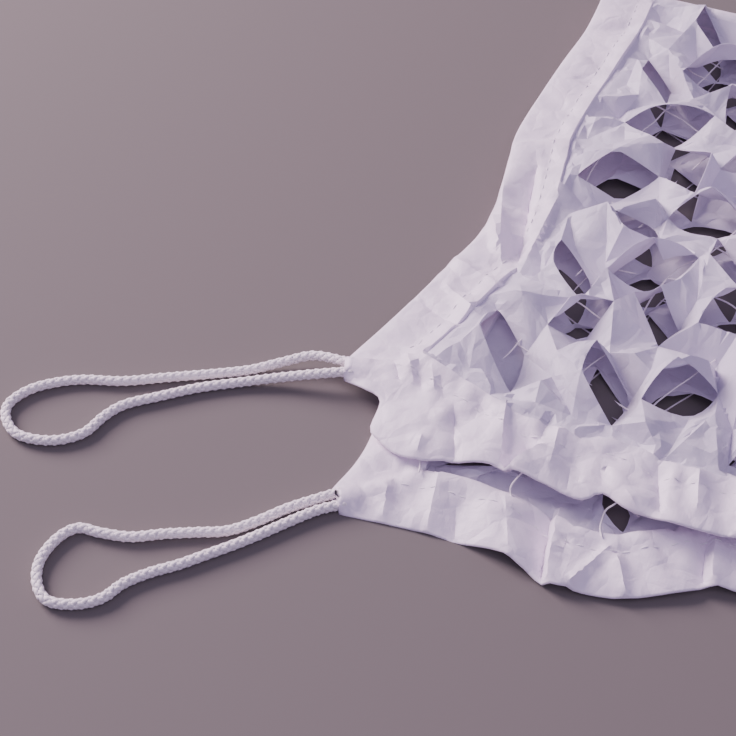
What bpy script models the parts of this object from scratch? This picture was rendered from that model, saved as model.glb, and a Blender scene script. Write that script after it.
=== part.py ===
"""Snow camouflage netting, folded in two, with a loop of braided rope at each corner.

The net is one coated white cloth. Short crossed slits are cut through it in a turned
square pattern, and the cloth between them stands up in leaf-like facets. A wide hem runs
round its three open sides, and the cloth is doubled back on itself along the far side, so
a lower layer lies on the surface and an upper layer lies over it, a little set back.

Plan sizes are in millimetres from the lower layer's front left corner, +X along the front
hem, +Y towards the fold, +Z up. The finished part is in metres, with its origin under the
middle of the cloth's box, on the surface that it rests on.
"""
import math

import bpy
import numpy as np
from mathutils import geometry

MM = 0.001

# ---- driving dimensions (mm) ---------------------------------------------------------
ORIGIN_X = 285.6            # middle of the cloth's box, from the lower layer's corner
ORIGIN_Y = 278.7
CLOTH_THICK = 1.5           # one layer of cloth between the slits
HEM_WIDTH = 38.0            # doubled cloth along the open sides
HEM_THICK = 3.4             # at the middle of the hem
HEM_EDGE_THICK = 2.4        # at the hem's two edges
MOUTH_WIDTH = 17.0          # open end of the hem at a corner, where the rope comes out
MOUTH_THICK = 7.6
MOUTH_REACH = 16.0          # how far the hem stays open behind its mouth
FOLD_Y = 545.0              # where the cloth starts to turn back on itself
FOLD_ROWS = 3               # rows of points round the fold
FOLD_LOWER = 2.0            # height of the lower layer's underside at the fold
FOLD_UPPER = 20.0           # height of the upper layer's underside at the fold

SLIT_PITCH = 50.0           # from slit to slit
SLIT_TURN = math.radians(28.0)
SLIT_FIRST = (47.0, 145.0)  # slit (0, 0), beside the upper layer's left hem
SLIT_HALF = 29.0            # half of a slit's length
SLIT_OPEN = 9.8             # half of an opened slit's width
SLIT_MARGIN = 6.0           # cloth left between a slit and the hem or the fold
LIPS = {"lower": (6.0, 1.0), "upper": (11.0, 3.5)}  # rise of the high lip, fall of the low one
EDGE_STEP = 27.0            # between points along the hem

ROPE_RADIUS = 3.0
BRAID_RELIEF = 0.3          # strands stand this far above and below the rope's radius
BRAID_STEP = 4.2            # half of one crossing of the strands
ROPE_SIDES = 6
SEAT_GAP = 0.3              # between a rope's end and the hem's mouth

CLOTH_COLOUR = (0.80, 0.78, 0.83, 1.0)
ROPE_COLOUR = (0.82, 0.80, 0.83, 1.0)

# ---- edges of the two layers: plan place and height of the underside ------------------
# columns: x, y, height
LOWER_FRONT = [
    (37, 7, 0), (60, 9, 0), (88, 9, 1), (109, 5, 2), (124, 0, 3), (134, 1, 3), (153, 4, 2),
    (170, 9, 3), (196, 24, 5), (206, 31, 6), (222, 35, 4), (262, 36, 0), (320, 28, 0),
    (400, 19, 0), (500, 12, 0), (570, 10, 0)]
LOWER_RIGHT = [(603, 60, 0), (606, 150, 0), (603, 300, 0), (607, 430, 0)]
LOWER_LEFT = [(-4, 50, 0), (-7, 84, 0), (-9, 130, 0), (-6, 260, 0), (-9, 400, 0)]
UPPER_FRONT = [
    (-20, 87, 11), (-7, 82, 11), (-5, 62, 8), (4, 55, 8), (14, 50, 8), (30, 48, 10), (45, 52, 13),
    (69, 56, 17), (98, 54, 20), (126, 52, 17), (137, 60, 20), (153, 55, 18), (179, 53, 22),
    (214, 58, 18), (260, 61, 21), (320, 56, 18), (400, 60, 20), (480, 55, 18), (560, 60, 17)]
UPPER_RIGHT = [(609, 130, 17), (603, 220, 20), (608, 330, 18), (604, 450, 20)]
UPPER_LEFT = [
    (-26, 150, 11), (-12, 204, 12), (-1, 242, 17), (-3, 278, 15), (-9, 318, 19), (-14, 355, 17),
    (-10, 430, 19), (-6, 490, 18)]
FOLD_ENDS = (-8.0, 606.0)

# ---- mouths of the hem: x, y of the middle, which way it faces (degrees), underside -----
MOUTHS = {
    "lower_left": (-4.0, 8.6, 218.5, 0.0),
    "upper_left": (-37.2, 99.0, 199.0, 8.2),
    "lower_right": (602.0, 15.0, 322.0, 0.0),
    "upper_right": (610.0, 74.0, 352.0, 13.0),
}

# ---- slits placed by hand: (column, row): shift along x and y, turn, length, opening ----
SLITS_SEEN = {
    (0, 0): (0, 0, 0, 1.08, 1.10),
    (1, 0): (-8, 16, 10, 0.62, 0.75),
    (1, -1): (1, 12, 0, 0.92, 1.25),
    (2, 0): (-8, 10, -12, 0.66, 1.20),
    (2, 1): (2, 5, 0, 0.90, 0.90),
    (2, -2): (0, 9, -80, 0.62, 1.15),
    (2, -1): (0, 0, 6, 0.76, 1.10),
    (1, 1): (0, 8, 0, 0.90, 1.00),
    (2, 2): (6, -2, 30, 0.62, 1.10),
    (3, 2): (2, 0, -12, 0.80, 1.05),
    (3, 0): (-8, 2, 20, 0.85, 0.90),
    (0, -1): (1, -28, 0, 1.00, 1.00),
    (1, -2): (8, -17, 103, 0.45, 0.80),
}

# ---- rope routes of the two left-hand loops: x, y and height of the rope's middle --------
UPPER_LEFT_ROUTE = [
    (-60, 103, 8.5), (-77, 93, 5.3), (-93, 81, 3.6), (-113, 69, 3.4), (-138, 55, 3.4),
    (-161, 42, 3.4), (-183, 34, 3.4), (-198, 25, 3.4), (-210, 13, 3.4), (-215, -2, 3.4),
    (-208, -14, 3.4), (-195, -20, 3.4), (-176, -16, 3.4), (-162, -4, 3.4), (-157, 13, 3.4),
    (-150, 26, 3.4), (-134, 40, 3.4), (-116, 55, 3.4), (-96, 68, 3.6), (-73, 80, 6.0),
    (-53, 88, 9.6)]
LOWER_LEFT_ROUTE = [
    (-16, 3, 3.8), (-27, -8, 3.5), (-39, -23, 3.4), (-51, -35, 3.4), (-67, -43, 3.4),
    (-83, -51, 3.4), (-99, -60, 3.4), (-116, -64, 3.4), (-129, -66, 3.4), (-136, -77, 3.4),
    (-137, -94, 3.4), (-130, -108, 3.4), (-119, -115, 3.4), (-104, -111, 3.4), (-93, -102, 3.4),
    (-87, -89, 3.4), (-77, -77, 3.4), (-65, -66, 3.4), (-54, -54, 3.4), (-43, -42, 3.4),
    (-33, -30, 3.4), (-22, -16, 3.5), (-11, -3, 3.8)]


def wobble(column, row, salt):
    """A number from -1 to 1 that differs from slit to slit and is the same each run."""
    value = math.sin(12.9898 * column + 78.233 * row + 37.719 * salt) * 43758.5453
    return 2.0 * (value - math.floor(value)) - 1.0


def smooth_line(rows, step):
    """Points about one step apart along a smooth curve through the rows."""
    rows = np.array(rows, float)
    ghosts = np.vstack([2 * rows[0] - rows[1], rows, 2 * rows[-1] - rows[-2]])
    before, start, end, after = ghosts[:-3], ghosts[1:-2], ghosts[2:-1], ghosts[3:]
    t = (np.arange(24) / 24.0)[None, :, None]
    start_, end_ = start[:, None], end[:, None]
    fine = 0.5 * (2 * start_ + (end_ - before[:, None]) * t
                  + (2 * before[:, None] - 5 * start_ + 4 * end_ - after[:, None]) * t ** 2
                  + (3 * start_ - before[:, None] - 3 * end_ + after[:, None]) * t ** 3)
    fine = np.vstack([fine.reshape(-1, 3), rows[-1]])
    travel = np.concatenate([[0.0], np.cumsum(np.linalg.norm(np.diff(fine, axis=0), axis=1))])
    stops = np.linspace(0.0, travel[-1], max(2, round(travel[-1] / step) + 1))
    return np.stack([np.interp(stops, travel, fine[:, k]) for k in range(3)], axis=1)


def mouth_frame(name):
    """Middle, facing direction and sideways direction of a hem's mouth, in plan."""
    x, y, heading, _ = MOUTHS[name]
    facing = np.array([math.cos(math.radians(heading)), math.sin(math.radians(heading))])
    return np.array([x, y]), facing, np.array([-facing[1], facing[0]])


def mouth_ends(name):
    """The two ends of a mouth: the one on the side hem, then the one on the front hem."""
    middle, _, sideways = mouth_frame(name)
    underside = MOUTHS[name][3]
    ends = [middle + s * MOUTH_WIDTH / 2 * sideways for s in (-1, 1)]
    if name.endswith("right"):
        ends.reverse()
    return [(end[0], end[1], underside) for end in ends]


def layer_outline(layer, front, right, left, fold_height, fold_xs):
    """A layer's edge, anticlockwise from its front left mouth, and how many points are hem."""
    left_side, left_front = mouth_ends(layer + "_left")
    right_side, right_front = mouth_ends(layer + "_right")
    fold_left = (FOLD_ENDS[0], FOLD_Y, fold_height)
    fold_right = (FOLD_ENDS[1], FOLD_Y, fold_height)
    front_line = smooth_line([left_front] + front + [right_front], EDGE_STEP)
    right_line = smooth_line([right_side] + right + [fold_right], EDGE_STEP)
    left_line = smooth_line([left_side] + left + [fold_left], EDGE_STEP)
    fold_line = [(x, FOLD_Y, fold_height) for x in fold_xs[::-1][1:-1]]
    outline = np.vstack([front_line, right_line, fold_line, left_line[::-1]])
    hem = [front_line, right_line, left_line[::-1]]
    return outline, hem


def hem_distance(points, hem):
    """Distance of each plan point from the hemmed edge, and the edge's height there."""
    a = np.vstack([line[:-1] for line in hem])
    b = np.vstack([line[1:] for line in hem])
    run = b[:, :2] - a[:, :2]
    offset = points[:, None, :2] - a[None, :, :2]
    along = np.clip((offset * run).sum(-1) / (run * run).sum(-1), 0.0, 1.0)
    gap = np.linalg.norm(offset - along[..., None] * run, axis=-1)
    nearest = gap.argmin(axis=1)
    pick = np.arange(len(points))
    height = a[nearest, 2] + along[pick, nearest] * (b[nearest, 2] - a[nearest, 2])
    return gap[pick, nearest], height


def inside(points, ring):
    """Which plan points lie inside a closed ring."""
    x, y = points[:, :1], points[:, 1:2]
    ax, ay = ring[:, 0], ring[:, 1]
    bx, by = np.roll(ax, -1), np.roll(ay, -1)
    crosses = (ay > y) != (by > y)
    reach = (bx - ax) * (y - ay) / np.where(by == ay, 1e-9, by - ay) + ax
    return (crosses & (x < reach)).sum(axis=1) % 2 == 1


def field_height(layer, x, y):
    """Height of the cloth's underside between the hems: long soft swells."""
    swell = np.sin(x / 61.0 + 0.8) * np.cos(y / 73.0 - 0.4) + 0.6 * np.sin((x + y) / 47.0)
    if layer == "lower":
        return 1.6 + 0.9 * swell
    return 21.5 + 2.2 * swell


def pattern_axes():
    """The turned square pattern's two directions, one pitch long."""
    across = SLIT_PITCH * np.array([math.cos(SLIT_TURN), math.sin(SLIT_TURN)])
    return across, np.array([-across[1], across[0]])


def slit_ring(column, row, sides):
    """Plan outline of one opened slit: its points, and how far each lip point is raised.

    Every second slit lies along the pattern's rows, the others along its columns. Each is
    opened into a leaf shape with a high lip and a low lip.
    """
    across, upward = pattern_axes()
    shift_x, shift_y, turn, length, opening = SLITS_SEEN.get((column, row), (
        2.2 * wobble(column, row, 1), 2.2 * wobble(column, row, 2), 7.0 * wobble(column, row, 3),
        0.97 + 0.08 * wobble(column, row, 4), 0.92 + 0.2 * wobble(column, row, 5)))
    middle = np.array(SLIT_FIRST) + column * across + row * upward + np.array([shift_x, shift_y])
    angle = SLIT_TURN + math.radians(turn) + ((column + row) % 2 == 0) * math.pi / 2
    along = np.array([math.cos(angle), math.sin(angle)])
    aside = np.array([-along[1], along[0]])
    if sides == 8:
        corners = [(-1, 0), (-0.55, -0.70), (0.05, -1), (0.6, -0.65), (1, 0), (0.5, 0.75), (-0.05, 1),
                   (-0.6, 0.6)]
    else:
        corners = [(-1, 0), (-0.35, -0.95), (0.45, -0.85), (1, 0), (0.35, 0.95), (-0.45, 0.85)]
    half, half_open = SLIT_HALF * length, SLIT_OPEN * opening
    ring = [middle + u * half * along + v * half_open * aside for u, v in corners]
    high_side = 1.0 if wobble(column, row, 6) > 0 else -1.0
    rise = [v * high_side for _, v in corners]
    return np.array(ring), np.array(rise)


def layer_slits(layer, outline, hem):
    """Rings and lip heights of every slit that fits in a layer."""
    sides = 8 if layer == "upper" else 6
    raised, lowered = LIPS[layer]
    rings, heights, cells = [], [], []
    across, upward = pattern_axes()
    for column in range(-8, 18):
        for row in range(-14, 16):
            ring, rise = slit_ring(column, row, sides)
            if clear_of_edges(ring, outline, hem):
                base = field_height(layer, ring[:, 0], ring[:, 1])
                rings.append(ring)
                heights.append(base + np.where(rise > 0, raised, lowered) * rise)
            cell = np.array(SLIT_FIRST) + (column + 0.5) * across + (row + 0.5) * upward
            if clear_of_edges(cell[None, :], outline, hem):
                tilt = 2.0 * wobble(column, row, 7)
                cells.append((cell[0], cell[1], field_height(layer, cell[0], cell[1]) + tilt))
    return rings, heights, cells


def clear_of_edges(points, outline, hem):
    """Whether points lie inside a layer, clear of its hem and of the fold."""
    gap, _ = hem_distance(points, hem)
    return bool(inside(points, outline).all() and gap.min() > HEM_WIDTH + SLIT_MARGIN
                and points[:, 1].max() < FOLD_Y - 2 * SLIT_MARGIN)


def hem_points(outline, hem):
    """Points along the middle and the inner edge of the hem."""
    found = []
    for inset in (HEM_WIDTH / 2, HEM_WIDTH):
        for line in hem:
            run = np.gradient(line[:, :2], axis=0)
            inward = np.stack([-run[:, 1], run[:, 0]], axis=1)
            inward /= np.linalg.norm(inward, axis=1)[:, None]
            rows = line[:, :2] + inset * inward
            gap, _ = hem_distance(rows, hem)
            keep = (gap > inset - 1.5) & inside(rows, outline) & (rows[:, 1] < FOLD_Y - 8.0)
            found.extend(rows[keep].tolist())
    spaced = []
    for point in found:
        if all(math.dist(point, other) > 11.0 for other in spaced):
            spaced.append(point)
    return np.array(spaced)


def thickness(layer, points, gap):
    """Cloth thickness: one layer in the field, doubled in the hem, open at the mouths."""
    hem_part = np.clip(1.0 - np.abs(gap - HEM_WIDTH / 2) / (HEM_WIDTH / 2), 0.0, 1.0)
    thick = HEM_EDGE_THICK + (HEM_THICK - HEM_EDGE_THICK) * hem_part
    thick = np.where(gap > HEM_WIDTH + 2.0, CLOTH_THICK, thick)
    for side in ("_left", "_right"):
        ends = np.array(mouth_ends(layer + side))[:, :2]
        run = ends[1] - ends[0]
        offset = points[:, None, :2] - ends[0]
        along = np.clip((offset[:, 0] @ run) / (run @ run), 0.0, 1.0)
        away = np.linalg.norm(points[:, :2] - ends[0] - along[:, None] * run, axis=1)
        thick = np.maximum(thick, MOUTH_THICK - (MOUTH_THICK - HEM_THICK) * away / MOUTH_REACH)
    return thick


def layer_sheet(layer, front, right, left, fold_height, fold_xs):
    """One layer of the folded net: points, undersides, thickness and triangles facing up."""
    outline, hem = layer_outline(layer, front, right, left, fold_height, fold_xs)
    rings, heights, cells = layer_slits(layer, outline, hem)
    band = hem_points(outline, hem)
    points = [outline[:, :2]]
    loops = [len(outline)]
    for ring in rings:
        points.append(ring)
        loops.append(len(ring))
    cells = np.array(cells)
    points = np.vstack(points + [band, cells[:, :2]])
    edges, start = [], 0
    for count in loops:
        edges += [(start + k, start + (k + 1) % count) for k in range(count)]
        start += count
    result = geometry.delaunay_2d_cdt(points.tolist(), edges, [], 0, 1e-4)
    faces = np.array(result[2])
    origin = np.array([source[0] for source in result[3]])
    faces = origin[faces]
    middles = points[faces].mean(axis=1)
    keep = inside(middles, outline)
    for ring in rings:
        close = np.abs(middles - ring.mean(axis=0)).max(axis=1) < 2 * SLIT_HALF
        keep[close] &= ~inside(middles[close], ring)
    gap, edge_height = hem_distance(points, hem)
    own = np.concatenate([edge_height[:len(outline)]] + heights
                         + [field_height(layer, band[:, 0], band[:, 1]), cells[:, 2]])
    own[:len(outline)] = outline[:, 2]
    blend = np.clip((gap - HEM_WIDTH / 2 - 1.0) / 50.0, 0.0, 1.0)
    blend = blend * blend * (3.0 - 2.0 * blend)
    to_fold = np.clip((FOLD_Y - points[:, 1]) / 60.0, 0.0, 1.0)
    under = edge_height + (own - edge_height) * blend
    under = fold_height + (under - fold_height) * to_fold
    under = np.maximum(under, 0.0)
    return points, under, thickness(layer, points, gap), faces[keep], len(outline)


def build_netting():
    """The folded net as one closed solid, from a middle surface and its two sides."""
    fold_xs = np.linspace(FOLD_ENDS[0], FOLD_ENDS[1], 24)
    lower = layer_sheet("lower", LOWER_FRONT, LOWER_RIGHT, LOWER_LEFT, FOLD_LOWER, fold_xs)
    upper = layer_sheet("upper", UPPER_FRONT, UPPER_RIGHT, UPPER_LEFT, FOLD_UPPER, fold_xs)
    middles, outward, thick, faces = [], [], [], []
    for side, (points, under, thicks, triangles, _) in ((-1.0, lower), (1.0, upper)):
        start = sum(len(part) for part in middles)
        middles.append(np.column_stack([points, under + thicks / 2]))
        outward.append(np.tile([0.0, 0.0, side], (len(points), 1)))
        thick.append(thicks)
        faces += [tuple(start + (tri[::-1] if side < 0 else tri)) for tri in triangles]
    middles, outward = np.vstack(middles), np.vstack(outward)
    thick = np.concatenate(thick)
    rows = [fold_row(middles[:len(lower[0])], 0, fold_xs),
            fold_row(middles[len(lower[0]):], len(lower[0]), fold_xs)]
    z_low, z_high = middles[rows[0][1], 2], middles[rows[1][1], 2]
    radius, centre = (z_high - z_low) / 2, (z_high + z_low) / 2
    grid = [rows[0]]
    for k in range(1, FOLD_ROWS + 1):
        turn = math.pi * k / (FOLD_ROWS + 1) - math.pi / 2
        uneven = 1.0 + 0.12 * np.sin(fold_xs / 37.0)
        start = len(middles)
        middles = np.vstack([middles, np.column_stack(
            [fold_xs, FOLD_Y + uneven * radius * math.cos(turn),
             np.full(len(fold_xs), centre + radius * math.sin(turn))])])
        outward = np.vstack([outward, np.tile([0.0, math.cos(turn), math.sin(turn)], (len(fold_xs), 1))])
        thick = np.concatenate([thick, thick[rows[0]]])
        grid.append(list(range(start, start + len(fold_xs))))
    grid.append(rows[1])
    for below, above in zip(grid[:-1], grid[1:]):
        for k in range(len(fold_xs) - 1):
            faces.append((below[k + 1], below[k], above[k]))
            faces.append((below[k + 1], above[k], above[k + 1]))
    outer = middles + outward * thick[:, None] / 2
    inner = middles - outward * thick[:, None] / 2
    count = len(middles)
    solid = list(faces) + [tuple(count + k for k in face[::-1]) for face in faces]
    used = {(face[k], face[(k + 1) % 3]) for face in faces for k in range(3)}
    for a, b in used:
        if (b, a) not in used:
            solid.append((b, a, count + a))
            solid.append((b, count + a, count + b))
    return np.vstack([outer, inner]), solid


def fold_row(points, start, fold_xs):
    """Indices of a layer's points along the fold, from left to right."""
    at_fold = [k for k in range(len(points)) if abs(points[k, 1] - FOLD_Y) < 1e-6]
    at_fold.sort(key=lambda k: points[k, 0])
    assert len(at_fold) == len(fold_xs)
    return [start + k for k in at_fold]


def carried_route(route, source, target):
    """A left-hand loop's route, mirrored and turned to leave a right-hand mouth."""
    middle, facing, sideways = mouth_frame(source)
    new_middle, new_facing, new_sideways = mouth_frame(target)
    fall = MOUTHS[target][3] - MOUTHS[source][3]
    carried = []
    for x, y, z in route:
        offset = np.array([x, y]) - middle
        out, side = offset @ facing, offset @ sideways
        place = new_middle + out * new_facing - side * new_sideways
        near = max(0.0, 1.0 - out / 45.0)
        carried.append((place[0], place[1], max(z, z + fall * near)))
    return carried


def leg_end(name, hand):
    """Where a loop's leg meets the mouth: half a mouth's quarter to one side, a gap in front."""
    middle, facing, sideways = mouth_frame(name)
    place = middle + SEAT_GAP * facing + hand * MOUTH_WIDTH / 4 * sideways
    return (place[0], place[1], MOUTHS[name][3] + MOUTH_THICK / 2)


def build_rope(name, route, first_hand):
    """A braided rope as one closed tube whose sides rise and fall like crossed strands."""
    ends = [leg_end(name, first_hand), leg_end(name, -first_hand)]
    line = smooth_line([ends[0]] + route + [ends[1]], BRAID_STEP)
    line[:, 2] = np.maximum(line[:, 2], ROPE_RADIUS + BRAID_RELIEF + 0.1)
    along = np.gradient(line, axis=0)
    facing = np.append(mouth_frame(name)[1], 0.0)
    along[0], along[-1] = facing, -facing
    along /= np.linalg.norm(along, axis=1)[:, None]
    sideways = np.cross(along, [0.0, 0.0, 1.0])
    sideways /= np.linalg.norm(sideways, axis=1)[:, None]
    upward = np.cross(sideways, along)
    ring = np.arange(ROPE_SIDES)
    turn = 2 * math.pi * (ring + 0.5) / ROPE_SIDES
    step = np.arange(len(line))[:, None]
    radius = ROPE_RADIUS + BRAID_RELIEF * np.where((ring + step) % 2 == 0, 1.0, -1.0)
    points = (line[:, None] + (radius * np.cos(turn))[..., None] * sideways[:, None]
              + (radius * np.sin(turn))[..., None] * upward[:, None]).reshape(-1, 3)
    faces = []
    for k in range(len(line) - 1):
        for side in range(ROPE_SIDES):
            after = (side + 1) % ROPE_SIDES
            a, b = k * ROPE_SIDES + side, k * ROPE_SIDES + after
            c, d = b + ROPE_SIDES, a + ROPE_SIDES
            if (k + side) % 2 == 0:
                faces += [(a, b, c), (a, c, d)]
            else:
                faces += [(a, b, d), (b, c, d)]
    last = (len(line) - 1) * ROPE_SIDES
    faces.append(tuple(range(ROPE_SIDES))[::-1])
    faces.append(tuple(range(last, last + ROPE_SIDES)))
    return points, [face[::-1] for face in faces]


def material(name, colour, roughness):
    """A plain finish: colour and roughness."""
    made = bpy.data.materials.new(name)
    made.use_nodes = True
    shader = made.node_tree.nodes["Principled BSDF"]
    shader.inputs["Base Color"].default_value = colour
    shader.inputs["Roughness"].default_value = roughness
    shader.inputs["Metallic"].default_value = 0.0
    return made


def add_piece(name, points, faces, finish):
    """A named object from plan millimetres, moved to the part's origin."""
    placed = (np.asarray(points) - [ORIGIN_X, ORIGIN_Y, 0.0]) * MM
    mesh = bpy.data.meshes.new(name)
    mesh.from_pydata(placed.tolist(), [], [tuple(int(k) for k in face) for face in faces])
    mesh.materials.append(finish)
    mesh.validate()
    piece = bpy.data.objects.new(name, mesh)
    bpy.context.scene.collection.objects.link(piece)
    return piece


def main():
    """Clear the scene, then make the net and its four rope loops."""
    for old in list(bpy.data.objects):
        bpy.data.objects.remove(old, do_unlink=True)
    cloth = material("coated_cloth", CLOTH_COLOUR, 0.65)
    rope = material("braided_rope", ROPE_COLOUR, 0.7)
    points, faces = build_netting()
    add_piece("netting", points, faces, cloth)
    routes = {
        "upper_left": UPPER_LEFT_ROUTE,
        "lower_left": LOWER_LEFT_ROUTE,
        "upper_right": carried_route(LOWER_LEFT_ROUTE, "lower_left", "upper_right"),
        "lower_right": carried_route(UPPER_LEFT_ROUTE, "upper_left", "lower_right"),
    }
    for name, route in routes.items():
        first_hand = -1 if name.endswith("left") else 1
        points, faces = build_rope(name, route, first_hand)
        piece = add_piece("rope_loop_" + name, points, faces, rope)
        piece.data.shade_smooth()


main()
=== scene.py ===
"""Folded white camouflage netting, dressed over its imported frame.

The net is one thin coated cloth with crossed slits, doubled back on itself, with wide
sewn hems, a net of thin strings under each layer, and a braided rope loop at each corner.
Plan sizes are in millimetres from the lower layer's front left corner, as the maker would
lay it out; every mesh is moved to the frame's origin and to metres as it is made.
"""

import logging
import math
from dataclasses import dataclass, field
from enum import Enum

import bpy
import numpy as np
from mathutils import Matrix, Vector, geometry


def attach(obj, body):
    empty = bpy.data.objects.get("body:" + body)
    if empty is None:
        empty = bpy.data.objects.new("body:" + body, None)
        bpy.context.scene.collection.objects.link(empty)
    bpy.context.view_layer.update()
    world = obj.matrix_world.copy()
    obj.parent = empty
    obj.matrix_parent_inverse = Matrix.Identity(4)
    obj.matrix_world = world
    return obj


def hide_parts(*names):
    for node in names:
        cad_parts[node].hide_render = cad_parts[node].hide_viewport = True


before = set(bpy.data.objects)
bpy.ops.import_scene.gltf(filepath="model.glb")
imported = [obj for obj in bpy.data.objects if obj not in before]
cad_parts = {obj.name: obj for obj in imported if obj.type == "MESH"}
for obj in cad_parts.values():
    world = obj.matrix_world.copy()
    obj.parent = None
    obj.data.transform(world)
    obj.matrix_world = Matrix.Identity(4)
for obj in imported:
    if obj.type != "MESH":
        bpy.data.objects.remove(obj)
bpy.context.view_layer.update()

LOG = logging.getLogger("netting")
MM = 0.001
ORIGIN = np.array([285.6, 278.7, 0.0])   # frame origin in the plan's millimetres
Points = np.ndarray


# ---- small tools ----------------------------------------------------------------------

def to_frame(points: Points) -> Points:
    """Plan millimetres to the frame's metres."""
    return (np.asarray(points, float) - ORIGIN) * MM


def wobble(column: float, row: float, salt: float) -> float:
    """A number from -1 to 1 that differs from place to place and is the same each run."""
    value = math.sin(12.9898 * column + 78.233 * row + 37.719 * salt) * 43758.5453
    return 2.0 * (value - math.floor(value)) - 1.0


def ripple(travel: Points, seed: float) -> Points:
    """Uneven waves along a line: three sines whose wavelengths share no measure.

    Args:
        travel: distance along the line, in wavelengths of the middle sine.
        seed: shifts the three sines against each other.

    Returns:
        Heights from about -1 to 1.
    """
    return (0.5 * np.sin(2 * math.pi * travel + seed)
            + 0.35 * np.sin(2 * math.pi * 0.618 * travel + 2.3 * seed)
            + 0.25 * np.sin(2 * math.pi * 1.73 * travel + 4.1 * seed))


def smooth_line(rows: list | Points, step: float) -> Points:
    """Points about one step apart along a smooth curve through the rows.

    Each stretch is a Catmull-Rom cubic of its two ends and their neighbours, then read
    again at even distances.

    Args:
        rows: points to pass through, one row each.
        step: distance between the points returned.

    Returns:
        An array with a row for each point.
    """
    rows = np.array(rows, float)
    ghosts = np.vstack([2 * rows[0] - rows[1], rows, 2 * rows[-1] - rows[-2]])
    before, start, end, after = (ghosts[k:len(ghosts) - 3 + k, None] for k in range(4))
    t = (np.arange(24) / 24.0)[None, :, None]
    fine = 0.5 * (2 * start + (end - before) * t
                  + (2 * before - 5 * start + 4 * end - after) * t ** 2
                  + (3 * start - before - 3 * end + after) * t ** 3)
    fine = np.vstack([fine.reshape(-1, rows.shape[1]), rows[-1]])
    travel = np.concatenate([[0.0], np.cumsum(np.linalg.norm(np.diff(fine, axis=0), axis=1))])
    stops = np.linspace(0.0, travel[-1], max(2, round(travel[-1] / step) + 1))
    return np.stack([np.interp(stops, travel, fine[:, k]) for k in range(rows.shape[1])], axis=1)


def line_frames(line: Points) -> tuple[Points, Points, Points]:
    """Unit directions along, to the side of and above each point of a line that lies flat.

    Args:
        line: the line's points.

    Returns:
        Three arrays with a row for each point.
    """
    along = np.gradient(line, axis=0)
    along /= np.linalg.norm(along, axis=1)[:, None]
    side = np.cross(along, [0.0, 0.0, 1.0])
    side /= np.linalg.norm(side, axis=1)[:, None] + 1e-9
    return along, side, np.cross(side, along)


def tube(line: Points, radius: Points | float, sides: int) -> tuple[Points, Points]:
    """A closed round tube along a line: at each point a ring of cosine and sine.

    Args:
        line: the points it follows, in mm.
        radius: one radius, or one for each point.
        sides: corners of each ring.

    Returns:
        Points and four-cornered faces; the ends close on a point.
    """
    _, side, above = line_frames(line)
    turn = 2 * math.pi * np.arange(sides) / sides
    size = np.broadcast_to(np.asarray(radius, float), (len(line),)).copy()
    size[[0, -1]] *= 0.05
    rings = (line[:, None] + size[:, None, None] * (np.cos(turn)[None, :, None] * side[:, None]
                                                   + np.sin(turn)[None, :, None] * above[:, None]))
    return rings.reshape(-1, 3), grid_faces(len(line), sides)


def grid_faces(rings: int, sides: int) -> Points:
    """Four-cornered faces between rings of points, each ring closed on itself."""
    ring, side = np.meshgrid(np.arange(rings - 1), np.arange(sides), indexing="ij")
    after = (side + 1) % sides
    corners = [ring * sides + side, (ring + 1) * sides + side, (ring + 1) * sides + after,
               ring * sides + after]
    return np.stack([c.ravel() for c in corners], axis=1)


def join(parts: list[tuple[Points, Points]]) -> tuple[Points, Points]:
    """Several meshes of the same kind of face as one list of points and faces."""
    starts = np.cumsum([0] + [len(points) for points, _ in parts[:-1]])
    points = np.vstack([points for points, _ in parts])
    faces = np.vstack([faces + start for (_, faces), start in zip(parts, starts)])
    return points, faces


def triangles(points: Points, edges: list[tuple[int, int]]) -> Points:
    """Joins plan points into triangles as even as may be, with given edges kept.

    Args:
        points: the plan points.
        edges: pairs of point numbers that have to be joined.

    Returns:
        The triangles; those with a corner that isn't one of the points are left out.
    """
    result = geometry.delaunay_2d_cdt(points.tolist(), edges, [], 0, 1e-5)
    origin = np.array([source[0] if source else -1 for source in result[3]])
    faces = origin[np.array(result[2])]
    return faces[(faces >= 0).all(axis=1)]


def add_mesh(name: str, points: Points, faces: Points, weave: Points | None = None,
             crisp: Points | None = None) -> bpy.types.Object:
    """A smooth-shaded object at the origin from plan millimetres.

    Args:
        name: the piece's name.
        points: its points.
        faces: its faces, all with the same number of corners.
        weave: flat cloth coordinates in mm, a row for each point, kept as a UV map.
        crisp: points between which a bent edge keeps a crisp line, as true or false.

    Returns:
        The new object.
    """
    corners = faces.shape[1]
    mesh = bpy.data.meshes.new(name)
    mesh.vertices.add(len(points))
    mesh.vertices.foreach_set("co", to_frame(points).astype(np.float32).ravel())
    mesh.loops.add(faces.size)
    mesh.loops.foreach_set("vertex_index", faces.astype(np.int32).ravel())
    mesh.polygons.add(len(faces))
    mesh.polygons.foreach_set("loop_start", np.arange(0, faces.size, corners, dtype=np.int32))
    mesh.update(calc_edges=True)
    if weave is not None:
        layer = mesh.uv_layers.new(name="weave")
        layer.data.foreach_set("uv", (weave[faces.ravel()] * MM).astype(np.float32).ravel())
    mesh.validate()
    mesh.shade_smooth()
    if crisp is not None:
        mesh.set_sharp_from_angle(angle=math.radians(20.0))
        ends = np.empty(2 * len(mesh.edges), np.int32)
        mesh.edges.foreach_get("vertices", ends)
        sharp = np.empty(len(mesh.edges), bool)
        line = mesh.attributes["sharp_edge"].data
        line.foreach_get("value", sharp)
        line.foreach_set("value", sharp & crisp[ends.reshape(-1, 2)].all(axis=1))
    piece = bpy.data.objects.new(name, mesh)
    bpy.context.scene.collection.objects.link(piece)
    return piece


# ---- finishes -------------------------------------------------------------------------

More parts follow.
